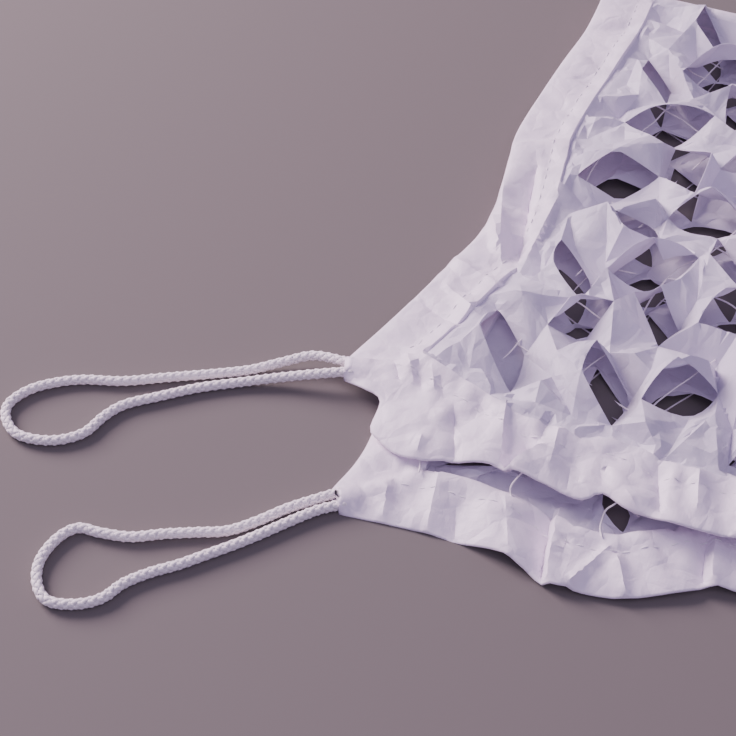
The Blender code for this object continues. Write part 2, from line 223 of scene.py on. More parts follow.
def linear(colour: str) -> tuple[float, float, float, float]:
    """An sRGB hex colour as linear red, green, blue and alpha."""
    parts = [int(colour[k:k + 2], 16) / 255.0 for k in (1, 3, 5)]
    light = [c / 12.92 if c <= 0.04045 else ((c + 0.055) / 1.055) ** 2.4 for c in parts]
    return (light[0], light[1], light[2], 1.0)


def add_node(tree: bpy.types.NodeTree, kind: str, settings: dict | None = None,
             links: dict | None = None) -> bpy.types.Node:
    """Adds one shader node.

    Args:
        tree: the material's node tree.
        kind: the node's type name.
        settings: values by socket name, or by attribute name where no socket has it.
        links: output sockets to connect, by input socket name or number.

    Returns:
        The new node.
    """
    node = tree.nodes.new(kind)
    for name, value in (settings or {}).items():
        if isinstance(name, int) or name in node.inputs:
            node.inputs[name].default_value = value
        else:
            setattr(node, name, value)
    for name, output in (links or {}).items():
        tree.links.new(output, node.inputs[name])
    return node


class Finish:
    """A finish that makes its material once."""

    name: str = ""

    def shader(self, tree: bpy.types.NodeTree, surface: bpy.types.Node) -> None:
        """Adds the finish's nodes to a new material.

        Args:
            tree: the material's node tree.
            surface: its principled shader.
        """
        raise NotImplementedError

    def material(self) -> bpy.types.Material:
        """The finish's material, made on first use.

        Its name differs from the slot's, as the solids' plain materials load under the
        slots' names.
        """
        label = self.name + "_finish"
        found = bpy.data.materials.get(label)
        if found:
            return found
        made = bpy.data.materials.new(label)
        made.use_nodes = True
        self.shader(made.node_tree, made.node_tree.nodes["Principled BSDF"])
        return made

    def dress(self, piece: bpy.types.Object) -> None:
        """Gives a piece this finish."""
        piece.data.materials.clear()
        piece.data.materials.append(self.material())


def between(tree: bpy.types.NodeTree, first: str, second: str,
            share: bpy.types.NodeSocket) -> bpy.types.NodeSocket:
    """Mixes two hex colours by a share.

    Args:
        tree: the material's node tree.
        first: the colour where the share is 0.
        second: the colour where it is 1.
        share: the output that gives the share.

    Returns:
        The mixed colour's output.
    """
    mixed = add_node(tree, "ShaderNodeMix", {"data_type": "RGBA", 6: linear(first), 7: linear(second)},
                     {0: share})
    return mixed.outputs[2]


def noise(tree: bpy.types.NodeTree, place: bpy.types.NodeSocket, scale: float,
          detail: float) -> bpy.types.Node:
    """Soft noise over a place output, with the scale in turns to the metre."""
    return add_node(tree, "ShaderNodeTexNoise", {"Scale": scale, "Detail": detail}, {"Vector": place})


@dataclass(frozen=True)
class CoatedCloth(Finish):
    """White polyester taffeta with a thin polyurethane coat: crisp, faintly glossy, cool white.

    The coat gives the soft wide sheen, the plain weave a fine grain, and handling the
    small sharp creases. A thread is drawn at 0.9 mm, as the real 0.3 mm doesn't show.
    The point attribute that marks the hem is 1 there; the hem lets less light through, and
    is painted brighter and pinker than the field: partly for the doubled cloth, partly as
    painted light on the hem against painted shade on the field. Sizes are in metres.
    """

    name: str = "coated_cloth"
    # field tones: darker and more lavender than the hem's, partly as painted shade
    lit: str = "#EAE5F2"
    shade: str = "#DFD9EA"
    # hem tone: brighter and pinker, partly for the doubled cloth and partly as painted light
    doubled: str = "#FDF1FF"
    through: str = "#ECE6F4"
    translucence: float = 0.24
    doubled_share: float = 0.3
    thread: float = 0.0009
    crease: float = 0.017
    crease_bend: float = 0.012
    roughness: float = 0.5
    sheen: float = 0.12

    def shader(self, tree: bpy.types.NodeTree, surface: bpy.types.Node) -> None:
        """Cloudy cool white, with weave and creases as bump, and light through the cloth.

        Args:
            tree: the material's node tree.
            surface: its principled shader.
        """
        place = add_node(tree, "ShaderNodeUVMap", {"uv_map": "weave"}).outputs["UV"]
        # the hem mask: less light through the doubled cloth, and the hem's colour with its painted light
        hem = add_node(tree, "ShaderNodeAttribute", {"attribute_name": "doubled"}).outputs["Fac"]
        normal = self.relief(tree, place)
        tree.links.new(self.colour(tree, place, hem), surface.inputs["Base Color"])
        tree.links.new(normal, surface.inputs["Normal"])
        surface.inputs["Roughness"].default_value = self.roughness
        surface.inputs["Sheen Weight"].default_value = self.sheen
        glow = add_node(tree, "ShaderNodeBsdfTranslucent", {"Color": linear(self.through)},
                        {"Normal": normal})
        passed = add_node(tree, "ShaderNodeMapRange", {
            "To Min": self.translucence, "To Max": self.doubled_share * self.translucence}, {"Value": hem})
        both = add_node(tree, "ShaderNodeMixShader", None,
                        {0: passed.outputs[0], 1: surface.outputs["BSDF"], 2: glow.outputs["BSDF"]})
        tree.links.new(both.outputs["Shader"], tree.nodes["Material Output"].inputs["Surface"])

    def colour(self, tree: bpy.types.NodeTree, place: bpy.types.NodeSocket,
               hem: bpy.types.NodeSocket) -> bpy.types.NodeSocket:
        """The field's two colours in soft clouds, and the hem's unevenly over them: brighter and pinker,
        partly painted light.
        """
        cloud = noise(tree, place, 28.0, 4.0).outputs["Fac"]
        uneven = add_node(tree, "ShaderNodeMapRange", {"From Min": 0.3, "From Max": 0.7, "To Min": 0.72},
                          {"Value": cloud})
        # the hem's share: its brighter, pinker colour is partly painted light, partly the doubled cloth
        sewn = add_node(tree, "ShaderNodeMath", {"operation": "MULTIPLY"}, {0: hem, 1: uneven.outputs[0]})
        whole = add_node(tree, "ShaderNodeMix", {"data_type": "RGBA", 7: linear(self.doubled)},
                         {0: sewn.outputs[0], 6: between(tree, self.shade, self.lit, cloud)})
        return whole.outputs[2]

    def relief(self, tree: bpy.types.NodeTree, place: bpy.types.NodeSocket) -> bpy.types.NodeSocket:
        """Weave, small sharp creases and soft swells, each a bump on the last.

        The weave is the product of two waves, two threads to a wave; the wave node turns
        by 20 radians a metre at a scale of 1. The creases are the sides of crumpled cells.
        """
        bands = math.pi / (20.0 * self.thread)
        warp, weft = (add_node(tree, "ShaderNodeTexWave", {"Scale": bands, "bands_direction": way},
                               {"Vector": place}).outputs["Fac"] for way in "XY")
        weave = add_node(tree, "ShaderNodeMath", {"operation": "MULTIPLY"}, {0: warp, 1: weft})
        bend = noise(tree, place, 60.0, 2.0).outputs["Color"]
        moved = add_node(tree, "ShaderNodeVectorMath", {
            "operation": "MULTIPLY_ADD", 1: (self.crease_bend, self.crease_bend, 0.0)}, {0: bend, 2: place})
        cells = add_node(tree, "ShaderNodeTexVoronoi", {
            "Scale": 1.0 / self.crease, "feature": "DISTANCE_TO_EDGE"}, {"Vector": moved.outputs[0]})
        sharp = add_node(tree, "ShaderNodeMapRange", {"From Max": 0.3}, {"Value": cells.outputs["Distance"]})
        swell = noise(tree, place, 95.0, 3.0).outputs["Fac"]
        fine = add_node(tree, "ShaderNodeBump", {"Strength": 0.12, "Distance": 0.0002},
                        {"Height": weave.outputs[0]})
        folds = add_node(tree, "ShaderNodeBump", {"Strength": 0.6, "Distance": 0.0009},
                         {"Height": sharp.outputs[0], "Normal": fine.outputs["Normal"]})
        soft = add_node(tree, "ShaderNodeBump", {"Strength": 0.5, "Distance": 0.0012},
                        {"Height": swell, "Normal": folds.outputs["Normal"]})
        return soft.outputs["Normal"]


@dataclass(frozen=True)
class BraidedRope(Finish):
    """White braided polypropylene: matt filaments laid along each strand, a little fuzzy."""

    name: str = "braided_rope"
    lit: str = "#FFFBFC"
    shade: str = "#F0E6EA"
    filaments: float = 1800.0
    roughness: float = 0.75
    sheen: float = 0.2

    def shader(self, tree: bpy.types.NodeTree, surface: bpy.types.Node) -> None:
        """Fine filament grain, as colour and bump.

        Args:
            tree: the material's node tree.
            surface: its principled shader.
        """
        place = add_node(tree, "ShaderNodeTexCoord").outputs["Object"]
        grain = noise(tree, place, self.filaments, 2.0).outputs["Fac"]
        tree.links.new(between(tree, self.shade, self.lit, grain), surface.inputs["Base Color"])
        surface.inputs["Roughness"].default_value = self.roughness
        surface.inputs["Sheen Weight"].default_value = self.sheen
        bump = add_node(tree, "ShaderNodeBump", {"Strength": 0.4, "Distance": 0.0003}, {"Height": grain})
        tree.links.new(bump.outputs["Normal"], surface.inputs["Normal"])


@dataclass(frozen=True)
class PlainYarn(Finish):
    """A thin twisted yarn: one pale colour with a faint grain."""

    name: str = "net_string"
    lit: str = "#FBF4F9"
    shade: str = "#E2D9E2"
    twists: float = 900.0
    roughness: float = 0.7

    def shader(self, tree: bpy.types.NodeTree, surface: bpy.types.Node) -> None:
        """Grain at the size of a twist.

        Args:
            tree: the material's node tree.
            surface: its principled shader.
        """
        place = add_node(tree, "ShaderNodeTexCoord").outputs["Object"]
        grain = noise(tree, place, self.twists, 1.0).outputs["Fac"]
        tree.links.new(between(tree, self.shade, self.lit, grain), surface.inputs["Base Color"])
        surface.inputs["Roughness"].default_value = self.roughness


CLOTH = CoatedCloth()
ROPE = BraidedRope()
STRING = PlainYarn()
THREAD = PlainYarn(name="sewing_thread", lit="#F7F5F8", shade="#E9E5EB")


# ---- camera, light and floor -------------------------------------------------------------

@dataclass(frozen=True)
class Lamp:
    """One square area light that faces the net; place and size in metres."""

    name: str
    place: tuple[float, float, float]
    size: float
    power: float
    colour: str

    def build(self) -> None:
        """Adds the light to the scene."""
        light = bpy.data.lights.new(self.name, "AREA")
        light.color = linear(self.colour)[:3]
        light.size = self.size
        light.energy = self.power
        made = bpy.data.objects.new(self.name, light)
        made.location = self.place
        made.rotation_euler = Vector(self.place).to_track_quat("Z", "Y").to_euler()
        bpy.context.scene.collection.objects.link(made)


@dataclass
class Studio:
    """Camera at the photograph's angle, soft lights and a plain floor.

    The target is in plan millimetres; the camera's distance and the floor's reach are in
    metres, its lens in millimetres and its angles in degrees.
    """

    target: tuple[float, float, float] = (-28.3, 113.7, 0.0)
    azimuth: float = 23.0
    elevation: float = 47.0
    distance: float = 0.95
    lens: float = 75.0
    lamps: tuple[Lamp, ...] = (Lamp("key", (-2.7, 0.6, 1.35), 1.4, 196.0, "#FFE6F2"),
                               Lamp("fill", (0.3, -1.0, 1.8), 1.8, 12.0, "#EEDCFC"))
    room_colour: str = "#C6BAE6"
    room_light: float = 0.5
    floor_colour: str = "#726D6A"
    floor_roughness: float = 0.9
    floor_reach: float = 4.0

    def add_camera(self) -> None:
        """Looks at the target from the photograph's azimuth and elevation."""
        turn, lift = math.radians(self.azimuth), math.radians(self.elevation)
        back = Vector((math.sin(turn) * math.cos(lift), -math.cos(turn) * math.cos(lift),
                       math.sin(lift)))
        camera = bpy.data.objects.new("camera", bpy.data.cameras.new("camera"))
        camera.data.lens = self.lens
        camera.data.clip_start = 0.01
        camera.location = Vector(to_frame(self.target)) + back * self.distance
        camera.rotation_euler = back.to_track_quat("Z", "Y").to_euler()
        bpy.context.scene.collection.objects.link(camera)
        bpy.context.scene.camera = camera

    def add_floor(self) -> None:
        """Adds the plain matt floor."""
        mesh = bpy.data.meshes.new("floor")
        reach = self.floor_reach
        mesh.from_pydata([(-reach, -reach, 0), (reach, -reach, 0), (reach, reach, 0),
                          (-reach, reach, 0)], [], [(0, 1, 2, 3)])
        floor = bpy.data.objects.new("floor", mesh)
        bpy.context.scene.collection.objects.link(floor)
        paint = bpy.data.materials.new("floor_paint")
        paint.use_nodes = True
        surface = paint.node_tree.nodes["Principled BSDF"]
        surface.inputs["Base Color"].default_value = linear(self.floor_colour)
        surface.inputs["Roughness"].default_value = self.floor_roughness
        mesh.materials.append(paint)

    def build(self) -> None:
        """Adds the lights, the room's glow and the floor."""
        for lamp in self.lamps:
            lamp.build()
        world = bpy.data.worlds.new("studio")
        world.use_nodes = True
        glow = world.node_tree.nodes["Background"]
        glow.inputs["Color"].default_value = linear(self.room_colour)
        glow.inputs["Strength"].default_value = self.room_light
        bpy.context.scene.world = world
        self.add_floor()


# ---- the plan: mouths, edges and slits ------------------------------------------------------

class Layer(Enum):
    """The two layers of the folded cloth."""

    LOWER = "lower"
    UPPER = "upper"


@dataclass(frozen=True)
class Mouth:
    """The open end of a hem at a corner, where the rope comes out."""

    x: float
    y: float
    heading: float
    underside: float
    width: float = 17.0
    thick: float = 7.6

    @property
    def facing(self) -> Points:
        """Unit direction that the mouth faces, in plan."""
        turn = math.radians(self.heading)
        return np.array([math.cos(turn), math.sin(turn)])

    @property
    def sideways(self) -> Points:
        """Unit direction along the mouth, a quarter turn left of where it faces."""
        return np.array([-self.facing[1], self.facing[0]])

    def ends(self) -> list[tuple[float, float, float]]:
        """Its two ends, right-hand end first as seen by what comes out of it."""
        middle = np.array([self.x, self.y])
        return [(*(middle + s * self.width / 2 * self.sideways), self.underside) for s in (-1, 1)]

    def leg(self, hand: float, depth: float) -> tuple[float, float, float]:
        """Where a rope's leg passes: to one side, and so far behind the mouth."""
        place = (np.array([self.x, self.y]) - depth * self.facing
                 + hand * self.width / 4 * self.sideways)
        return (place[0], place[1], self.underside + self.thick / 2)


MOUTHS = {
    "lower_left": Mouth(-4.0, 8.6, 218.5, 0.0),
    "upper_left": Mouth(-37.2, 99.0, 199.0, 8.2),
    "lower_right": Mouth(602.0, 15.0, 322.0, 0.0),
    "upper_right": Mouth(610.0, 74.0, 352.0, 13.0),
}
MOUTH_POINTS = 8


def corner_mouths() -> list[tuple[Layer, Mouth]]:
    """Each mouth with its layer: the lower ones first, left before right."""
    return [(layer, MOUTHS[layer.value + side]) for layer in Layer for side in ("_left", "_right")]


# columns: x, y, height of the underside
LOWER_FRONT = [
    (37, 7, 0), (60, 9, 0), (88, 9, 1), (109, 5, 2), (124, 0, 3), (134, 1, 3), (153, 4, 2),
    (170, 9, 3), (196, 24, 5), (206, 31, 6), (222, 35, 4), (262, 36, 0), (320, 28, 0),
    (400, 19, 0), (500, 12, 0), (570, 10, 0)]
LOWER_RIGHT = [(603, 60, 0), (606, 150, 0), (603, 300, 0), (607, 430, 0)]
LOWER_LEFT = [(-4, 50, 0), (-7, 84, 0), (-9, 130, 0), (-6, 260, 0), (-9, 400, 0)]
UPPER_FRONT = [
    (-20, 87, 11), (-7, 82, 11), (-5, 62, 8), (4, 55, 8), (14, 50, 8), (30, 48, 10), (45, 52, 13),
    (69, 56, 17), (98, 54, 20), (126, 52, 17), (137, 60, 20), (153, 55, 18), (179, 53, 22),
    (214, 58, 18), (260, 61, 21), (320, 56, 18), (400, 60, 20), (480, 55, 18), (560, 60, 17)]
# the line that the upper front hem was sewn to; left of x = 69 its edge hangs out further
UPPER_SEWN = [
    (-5, 80, 13), (32, 68, 15), (69, 56, 17), (98, 54, 20), (126, 52, 17), (137, 60, 20),
    (153, 55, 18), (179, 53, 22), (214, 58, 18), (260, 61, 21), (320, 56, 18), (400, 60, 20),
    (480, 55, 18), (560, 60, 17)]
UPPER_RIGHT = [(609, 130, 17), (603, 220, 20), (608, 330, 18), (604, 450, 20)]
UPPER_LEFT = [
    (-26, 150, 11), (-12, 204, 12), (-1, 242, 17), (-3, 278, 15), (-9, 318, 19), (-14, 355, 17),
    (-10, 430, 19), (-6, 490, 18)]
FOLD_ENDS = (-8.0, 606.0)
FOLD_Y = 545.0

# columns: upper layer, start x and y, end x and y, height, width to the left and to the right
CREASES = [
    (1, 12, 318, 33, 213, -7.0, 2.8, 17.0),
    (1, -6, 300, 16, 222, 3.0, 7.0, 6.0),
    (1, -2, 262, 22, 216, 3.2, 8.0, 4.0),
    (1, 36, 214, 36, 330, 2.2, 6.0, 5.0),
    (1, -14, 196, 30, 158, 2.6, 8.0, 5.0),
    (1, -20, 172, 22, 150, -2.2, 6.0, 5.0),
    (1, 66, 102, 26, 113.5, -3.0, 1.3, 8.0),
    (1, 26, 113.5, 2, 126, -3.0, 1.3, 8.0),
    (1, -10, 114, 0, 98, -1.8, 5.0, 4.0),
    (1, -3, 117, 8, 98, 2.0, 3.0, 5.0),
    (1, 5, 114, 15, 95, -2.0, 4.0, 5.0),
    (1, 14, 112, 22, 96, 1.8, 4.0, 5.0),
    (1, 22, 106, 30, 92, -1.6, 5.0, 6.0),
    (1, -30, 108, -8, 112, 1.6, 6.0, 5.0),
    (1, -16, 214, 26, 196, 2.8, 7.0, 5.0),
    (1, -2, 240, 30, 250, 1.8, 6.0, 8.0),
    (1, -8, 282, 12, 262, -2.2, 6.0, 7.0),
    (1, -12, 330, 20, 345, 2.4, 6.0, 8.0),
    (1, 46, 100, 60, 88, -1.8, 5.0, 6.0),
    (1, 100, 98, 104, 60, 2.4, 6.0, 5.0),
    (1, 138, 98, 134, 66, -2.2, 6.0, 6.0),
    (1, 182, 96, 190, 60, 2.6, 6.0, 7.0),
    (1, 230, 96, 226, 62, -3.0, 8.0, 6.0),
    (1, -16, 92, 12, 84, -1.6, 7.0, 5.0),
    (1, 30, 84, 52, 70, 1.8, 5.0, 8.0),
    (1, 36, 92, 53, 50, -3.4, 9.0, 6.0),
    (1, 65, 101, 76, 57, 5.5, 3.0, 16.0),
    (1, 78, 55, 93, 80, -8.0, 19.0, 2.6),
    (1, 93, 80, 92, 104, -4.0, 4.0, 14.0),
    (1, 82, 55, 97, 77, 3.6, 2.0, 14.0),
    (1, 27, 66, 30, 44, 2.6, 5.0, 8.0),
    (1, 110, 92, 118, 54, -2.6, 7.0, 9.0),
    (1, 131, 80, 158, 56, 4.6, 10.0, 6.0),
    (1, 160, 92, 172, 54, -4.6, 7.0, 9.0),
    (1, 205, 96, 214, 52, 3.6, 9.0, 5.0),
    (1, 252, 98, 244, 56, -4.0, 10.0, 6.0),
    (0, 18, 34, 26, 6, 2.2, 5.0, 5.0),
    (0, 44, 48, 52, 8, 2.6, 8.0, 5.0),
    (0, 60, 34, 70, 6, -1.8, 5.0, 9.0),
    (0, 84, 47, 104, -1, 7.5, 21.0, 24.0),
    (0, 113, 50, 124, -4, -4.0, 2.0, 10.0),
    (0, 116, 50, 127, -4, 6.0, 16.0, 2.4),
    (0, 134, -1, 151, 36, 4.5, 6.0, 4.0),
    (0, 168, 8, 154, 32, 4.0, 5.0, 5.0),
    (0, 197, 68, 206, 26, -4.4, 3.0, 12.0),
    (0, 201, 68, 210, 28, 3.4, 10.0, 2.4),
    (0, 250, 66, 242, 28, 3.2, 8.0, 6.0),
]

# slits listed one by one: (column, row): shift along x and y, turn, length, opening
SLITS_SEEN = {
    (0, 0): (0, 0, 0, 1.08, 1.10),
    (1, 0): (-8, 16, 10, 0.62, 0.75),
    (1, -1): (1, 12, 0, 0.92, 1.25),
    (2, 0): (-8, 10, -12, 0.66, 1.20),
    (2, 1): (2, 5, 0, 0.90, 0.90),
    (2, -2): (0, 9, -80, 0.62, 1.15),
    (2, -1): (0, 0, 6, 0.76, 1.10),
    (1, 1): (0, 8, 0, 0.90, 1.00),
    (2, 2): (6, -2, 30, 0.62, 1.10),
    (3, 2): (2, 0, -12, 0.80, 1.05),
    (3, 0): (-8, 2, 20, 0.85, 0.90),
    (0, -1): (1, -28, 0, 1.00, 1.00),
    (1, -2): (8, -17, 103, 0.45, 0.80),
}


@dataclass(frozen=True)
class Slit:
    """One slit in the flat cloth."""

    middle: Points
    along: Points
    half: float
    opening: float
    high_side: float

    @property
    def aside(self) -> Points:
        """Unit direction across the slit."""
        return np.array([-self.along[1], self.along[0]])

    def ring(self, steps: int, gape: float) -> Points:
        """Its outline before it opens: a thin lens, half a sine wide, with pointed ends.

        Args:
            steps: stretches along each side.
            gape: half its width in the middle.

        Returns:
            The outline's points in order.
        """
        t = np.linspace(0.0, math.pi, steps + 1)
        run = -np.cos(t) * self.half
        wide = gape * np.sin(t) ** 0.6
        first = self.middle + run[:, None] * self.along - wide[:, None] * self.aside
        back = self.middle + run[1:-1, None][::-1] * self.along + wide[1:-1, None][::-1] * self.aside
        return np.vstack([first, back])


@dataclass(frozen=True)
class SlitPattern:
    """Crossed slits on a turned square grid; every second one lies the other way."""

    pitch: float = 50.0
    turn: float = math.radians(28.0)
    first: tuple[float, float] = (47.0, 145.0)
    half: float = 32.0
    open_half: float = 9.8
    margin: float = 6.0

    def axes(self) -> tuple[Points, Points]:
        """The grid's two directions, one pitch long."""
        across = self.pitch * np.array([math.cos(self.turn), math.sin(self.turn)])
        return across, np.array([-across[1], across[0]])

    def node(self, column: float, row: float) -> Points:
        """Plan place of a grid point; halves lie between the slits."""
        across, upward = self.axes()
        return np.array(self.first) + column * across + row * upward

    def slit(self, column: int, row: int) -> Slit:
        """The slit at a grid point, as listed where the table has it, else slightly uneven."""
        shift_x, shift_y, turn, length, opening = SLITS_SEEN.get((column, row), (
            2.2 * wobble(column, row, 1), 2.2 * wobble(column, row, 2),
            7.0 * wobble(column, row, 3), 0.97 + 0.08 * wobble(column, row, 4),
            0.92 + 0.2 * wobble(column, row, 5)))
        angle = self.turn + math.radians(turn) + ((column + row) % 2 == 0) * math.pi / 2
        along = np.array([math.cos(angle), math.sin(angle)])
        high = 1.0 if wobble(column, row, 6) < 0.55 else -1.0
        return Slit(self.node(column, row) + [shift_x, shift_y], along, self.half * length,
                    self.open_half * opening, high)

    def places(self) -> list[tuple[int, int]]:
        """Grid points that may fall in a layer."""
        return [(column, row) for column in range(-8, 18) for row in range(-14, 16)]


def edge_gap(points: Points, hem: list[Points]) -> tuple[Points, Points, Points]:
    """How far plan points lie from a hemmed edge, and where along it.

    Args:
        points: plan points.
        hem: the hem's lines, each a row of points with the underside's height.

    Returns:
        Distance from the edge, the edge's height there, and the distance travelled along it.
    """
    start = np.vstack([line[:-1] for line in hem])
    end = np.vstack([line[1:] for line in hem])
    run = end[:, :2] - start[:, :2]
    length = np.linalg.norm(run, axis=1)
    travel = np.cumsum(length) - length
    results = []
    for part in np.array_split(points[:, :2], max(1, len(points) // 1500)):
        offset = part[:, None] - start[None, :, :2]
        along = np.clip((offset * run).sum(-1) / length ** 2, 0.0, 1.0)
        gap = np.linalg.norm(offset - along[..., None] * run, axis=-1)
        nearest = gap.argmin(axis=1)
        pick = np.arange(len(part))
        share = along[pick, nearest]
        height = start[nearest, 2] + share * (end[nearest, 2] - start[nearest, 2])
        results.append(np.stack([gap[pick, nearest], height,
                                 travel[nearest] + share * length[nearest]]))
    gap, height, travelled = np.concatenate(results, axis=1)
    return gap, height, travelled


def inside(points: Points, ring: Points) -> Points:
    """Which plan points lie inside a closed ring, by counting its edges to their right.

    Args:
        points: plan points.
        ring: the ring's corners in order.

    Returns:
        True or false for each point.
    """
    x, y = points[:, :1], points[:, 1:2]
    ax, ay = ring[:, 0], ring[:, 1]
    bx, by = np.roll(ax, -1), np.roll(ay, -1)
    crosses = (ay > y) != (by > y)
    reach = (bx - ax) * (y - ay) / np.where(by == ay, 1e-9, by - ay) + ax
    return (crosses & (x < reach)).sum(axis=1) % 2 == 1


class Occupancy:
    """A raster of the plan, one cell a millimetre, that keeps points apart."""

    def __init__(self) -> None:
        """An empty plan with room round it."""
        self.low = np.array([-80, -60])
        self.taken = np.zeros((780, 720), bool)

    def cells(self, points: Points) -> tuple[Points, Points]:
        """Raster columns and rows of plan points."""
        index = np.round(points[:, :2]).astype(int) - self.low
        return (np.clip(index[:, 0], 0, self.taken.shape[0] - 1),
                np.clip(index[:, 1], 0, self.taken.shape[1] - 1))

    def mark(self, points: Points, radius: float) -> None:
        """Takes a disc round each point."""
        reach = int(math.ceil(radius))
        columns, rows = self.cells(points)
        for dx in range(-reach, reach + 1):
            for dy in range(-reach, reach + 1):
                if dx * dx + dy * dy <= radius * radius:
                    self.taken[np.clip(columns + dx, 0, self.taken.shape[0] - 1),
                               np.clip(rows + dy, 0, self.taken.shape[1] - 1)] = True

    def free(self, points: Points) -> Points:
        """Which points fall on free cells."""
        return ~self.taken[self.cells(points)]


@dataclass
class FlatLayer:
    """One layer of cloth in plan: its edge, hem rows, slits and fine triangles.

    The field is first split into a coarse net of flat facets, with a move for each corner;
    fine points then move with the facet that they lie in.
    """

    layer: Layer
    pattern: SlitPattern
    spacing: float
    fold_xs: Points
    fold_height: float
    lift: tuple[float, float, float]
    bulge: float = 2.0
    gather: float = 0.8
    hem_width: float = 38.0
    stitch_gap: float = 28.0
    outer_rows: float = 14.0
    hem_rows: tuple[float, ...] = (1.3, 4.0, 8.0, 12.0, 16.0, 20.0, 24.0, 26.6, 28.0, 29.4, 32.5,
                                   35.8, 38.5, 39.7, 43.0)
    wander: float = 4.0
    knot_room: float = 8.0
    pressed_step: float = 2.6
    points: Points = field(init=False)
    faces: Points = field(init=False)
    gap: Points = field(init=False)
    edge_height: Points = field(init=False)
    travel: Points = field(init=False)
    rim_gap: Points = field(init=False)
    slits: list[Slit] = field(init=False)
    stitch_rows: list[Points] = field(init=False)
    knots: Points = field(init=False)
    moves: Points = field(init=False)
    facets: Points = field(init=False)

    def edges(self, sewn: bool) -> tuple[list, list, list]:
        """The layer's front, right and left edge tables."""
        if self.layer is Layer.LOWER:
            return LOWER_FRONT, LOWER_RIGHT, LOWER_LEFT
        return UPPER_SEWN if sewn else UPPER_FRONT, UPPER_RIGHT, UPPER_LEFT

    def outline(self, sewn: bool = False) -> tuple[Points, list[Points]]:
        """The closed edge, anticlockwise from the front left mouth, and its hemmed lines.

        Args:
            sewn: give the edge that the hem's width is measured from instead.

        Returns:
            The edge in plan, and its front, right and left lines with their heights.
        """
        front, right, left = self.edges(sewn)
        left_side, left_front = MOUTHS[self.layer.value + "_left"].ends()
        right_front, right_side = MOUTHS[self.layer.value + "_right"].ends()
        fold_left = (FOLD_ENDS[0], FOLD_Y, self.fold_height)
        fold_right = (FOLD_ENDS[1], FOLD_Y, self.fold_height)
        front_line = smooth_line([left_front] + front + [right_front], self.spacing)
        right_line = smooth_line([right_side] + right + [fold_right], self.spacing)
        left_line = smooth_line([left_side] + left + [fold_left], self.spacing)[::-1]
        fold_line = np.array([(x, FOLD_Y, self.fold_height) for x in self.fold_xs[::-1][1:-1]])
        right_mouth = np.linspace(right_front, right_side, MOUTH_POINTS)[1:-1]
        left_mouth = np.linspace(left_side, left_front, MOUTH_POINTS)[1:-1]
        ring = np.vstack([front_line, right_mouth, right_line, fold_line, left_line, left_mouth])
        return ring[:, :2], [front_line, right_line, left_line]

    def inset(self, line: Points, gap: float) -> Points:
        """A hemmed line moved inwards, a quarter turn left of its run."""
        run = np.gradient(line[:, :2], axis=0)
        inward = np.stack([-run[:, 1], run[:, 0]], axis=1)
        return line[:, :2] + gap * inward / np.linalg.norm(inward, axis=1)[:, None]

    def clear(self, points: Points, ring: Points, hem: list[Points]) -> bool:
        """Whether a slit keeps clear of the hem and of the fold."""
        gap, _, _ = edge_gap(points, hem)
        return bool(inside(points, ring).all() and gap.min() > self.hem_width + self.pattern.margin
                    and points[:, 1].max() < FOLD_Y - 2 * self.pattern.margin)

    def cut_slits(self, ring: Points, hem: list[Points]) -> list[Points]:
        """Finds the slits that keep clear of the edge.

        Args:
            ring: the layer's edge.
            hem: the lines that the hem is measured from.

        Returns:
            Each slit's outline before it opens.
        """
        self.slits, lenses = [], []
        for column, row in self.pattern.places():
            slit = self.pattern.slit(column, row)
            if self.clear(slit.ring(4, slit.opening), ring, hem):
                self.slits.append(slit)
                lenses.append(slit.ring(max(6, round(2 * slit.half / self.spacing)), 0.9))
        return lenses

    def slit_gap(self, place: Points) -> float:
        """Distance from a place to the nearest slit's line."""
        gaps = []
        for slit in self.slits:
            along = np.clip((place - slit.middle) @ slit.along, -slit.half, slit.half)
            gaps.append(float(np.linalg.norm(place - slit.middle - along * slit.along)))
        return min(gaps)

    def slit_knots(self) -> tuple[list, list, list]:
        """Corners at each slit: both sides of its middle, and its two ends.

        The two sides move apart, one up and one down; the ends move a little each way.

        Returns:
            The corners, how far each moves, and the edges between them.
        """
        spread, rise, slight = self.lift
        knots, moves, edges = [], [], []
        for number, slit in enumerate(self.slits):
            start = len(knots)
            gape = slit.opening / self.pattern.open_half
            uneven = 1.0 + 0.35 * wobble(number, 3.0, 8)
            level = 0.35 * rise * wobble(number, 5.0, 9)
            for side in (-1.0, 1.0):
                knots.append(slit.middle + 0.9 * side * slit.aside)
                flat_move = spread * gape * side * slit.aside
                lifted = side * slit.high_side > 0
                moves.append((*flat_move, level + (1.15 if lifted else -0.85) * rise * uneven))
            for end in (-1.0, 1.0):
                knots.append(slit.middle + end * slit.half * slit.along)
                moves.append((2.5 * wobble(number, end, 10), 2.5 * wobble(number, end, 11),
                              slight * wobble(number, end, 12)))
            edges += [(start + a, start + b) for a, b in ((0, 2), (0, 3), (1, 2), (1, 3))]
        return knots, moves, edges

    def tile_knots(self, ring: Points, hem: list[Points]) -> tuple[list, list]:
        """Three corners in each tile between slits, in a leaning row, and their moves."""
        slight = self.lift[2]
        knots, moves = [], []
        for column, row in self.pattern.places():
            lean = 0.2 if wobble(column, row, 22) > 0.0 else -0.2
            for part in (-1, 0, 1):
                middle = self.pattern.node(column + 0.5 + 0.2 * part, row + 0.5 + lean * part)
                middle = middle + self.wander * np.array([wobble(column, row, 13 + 5 * part),
                                                          wobble(column, row, 14 + 5 * part)])
                gap, _, _ = edge_gap(middle[None], hem)
                if self.slit_gap(middle) > self.knot_room and gap[0] > self.hem_width + 9 \
                        and middle[1] < FOLD_Y - 25 and inside(middle[None], ring)[0]:
                    knots.append(middle)
                    moves.append((3.0 * wobble(column, row, 15 + 9 * part),
                                  3.0 * wobble(column, row, 16 + 9 * part),
                                  slight * 1.3 * wobble(column, row, 17 + 9 * part)))
        return knots, moves

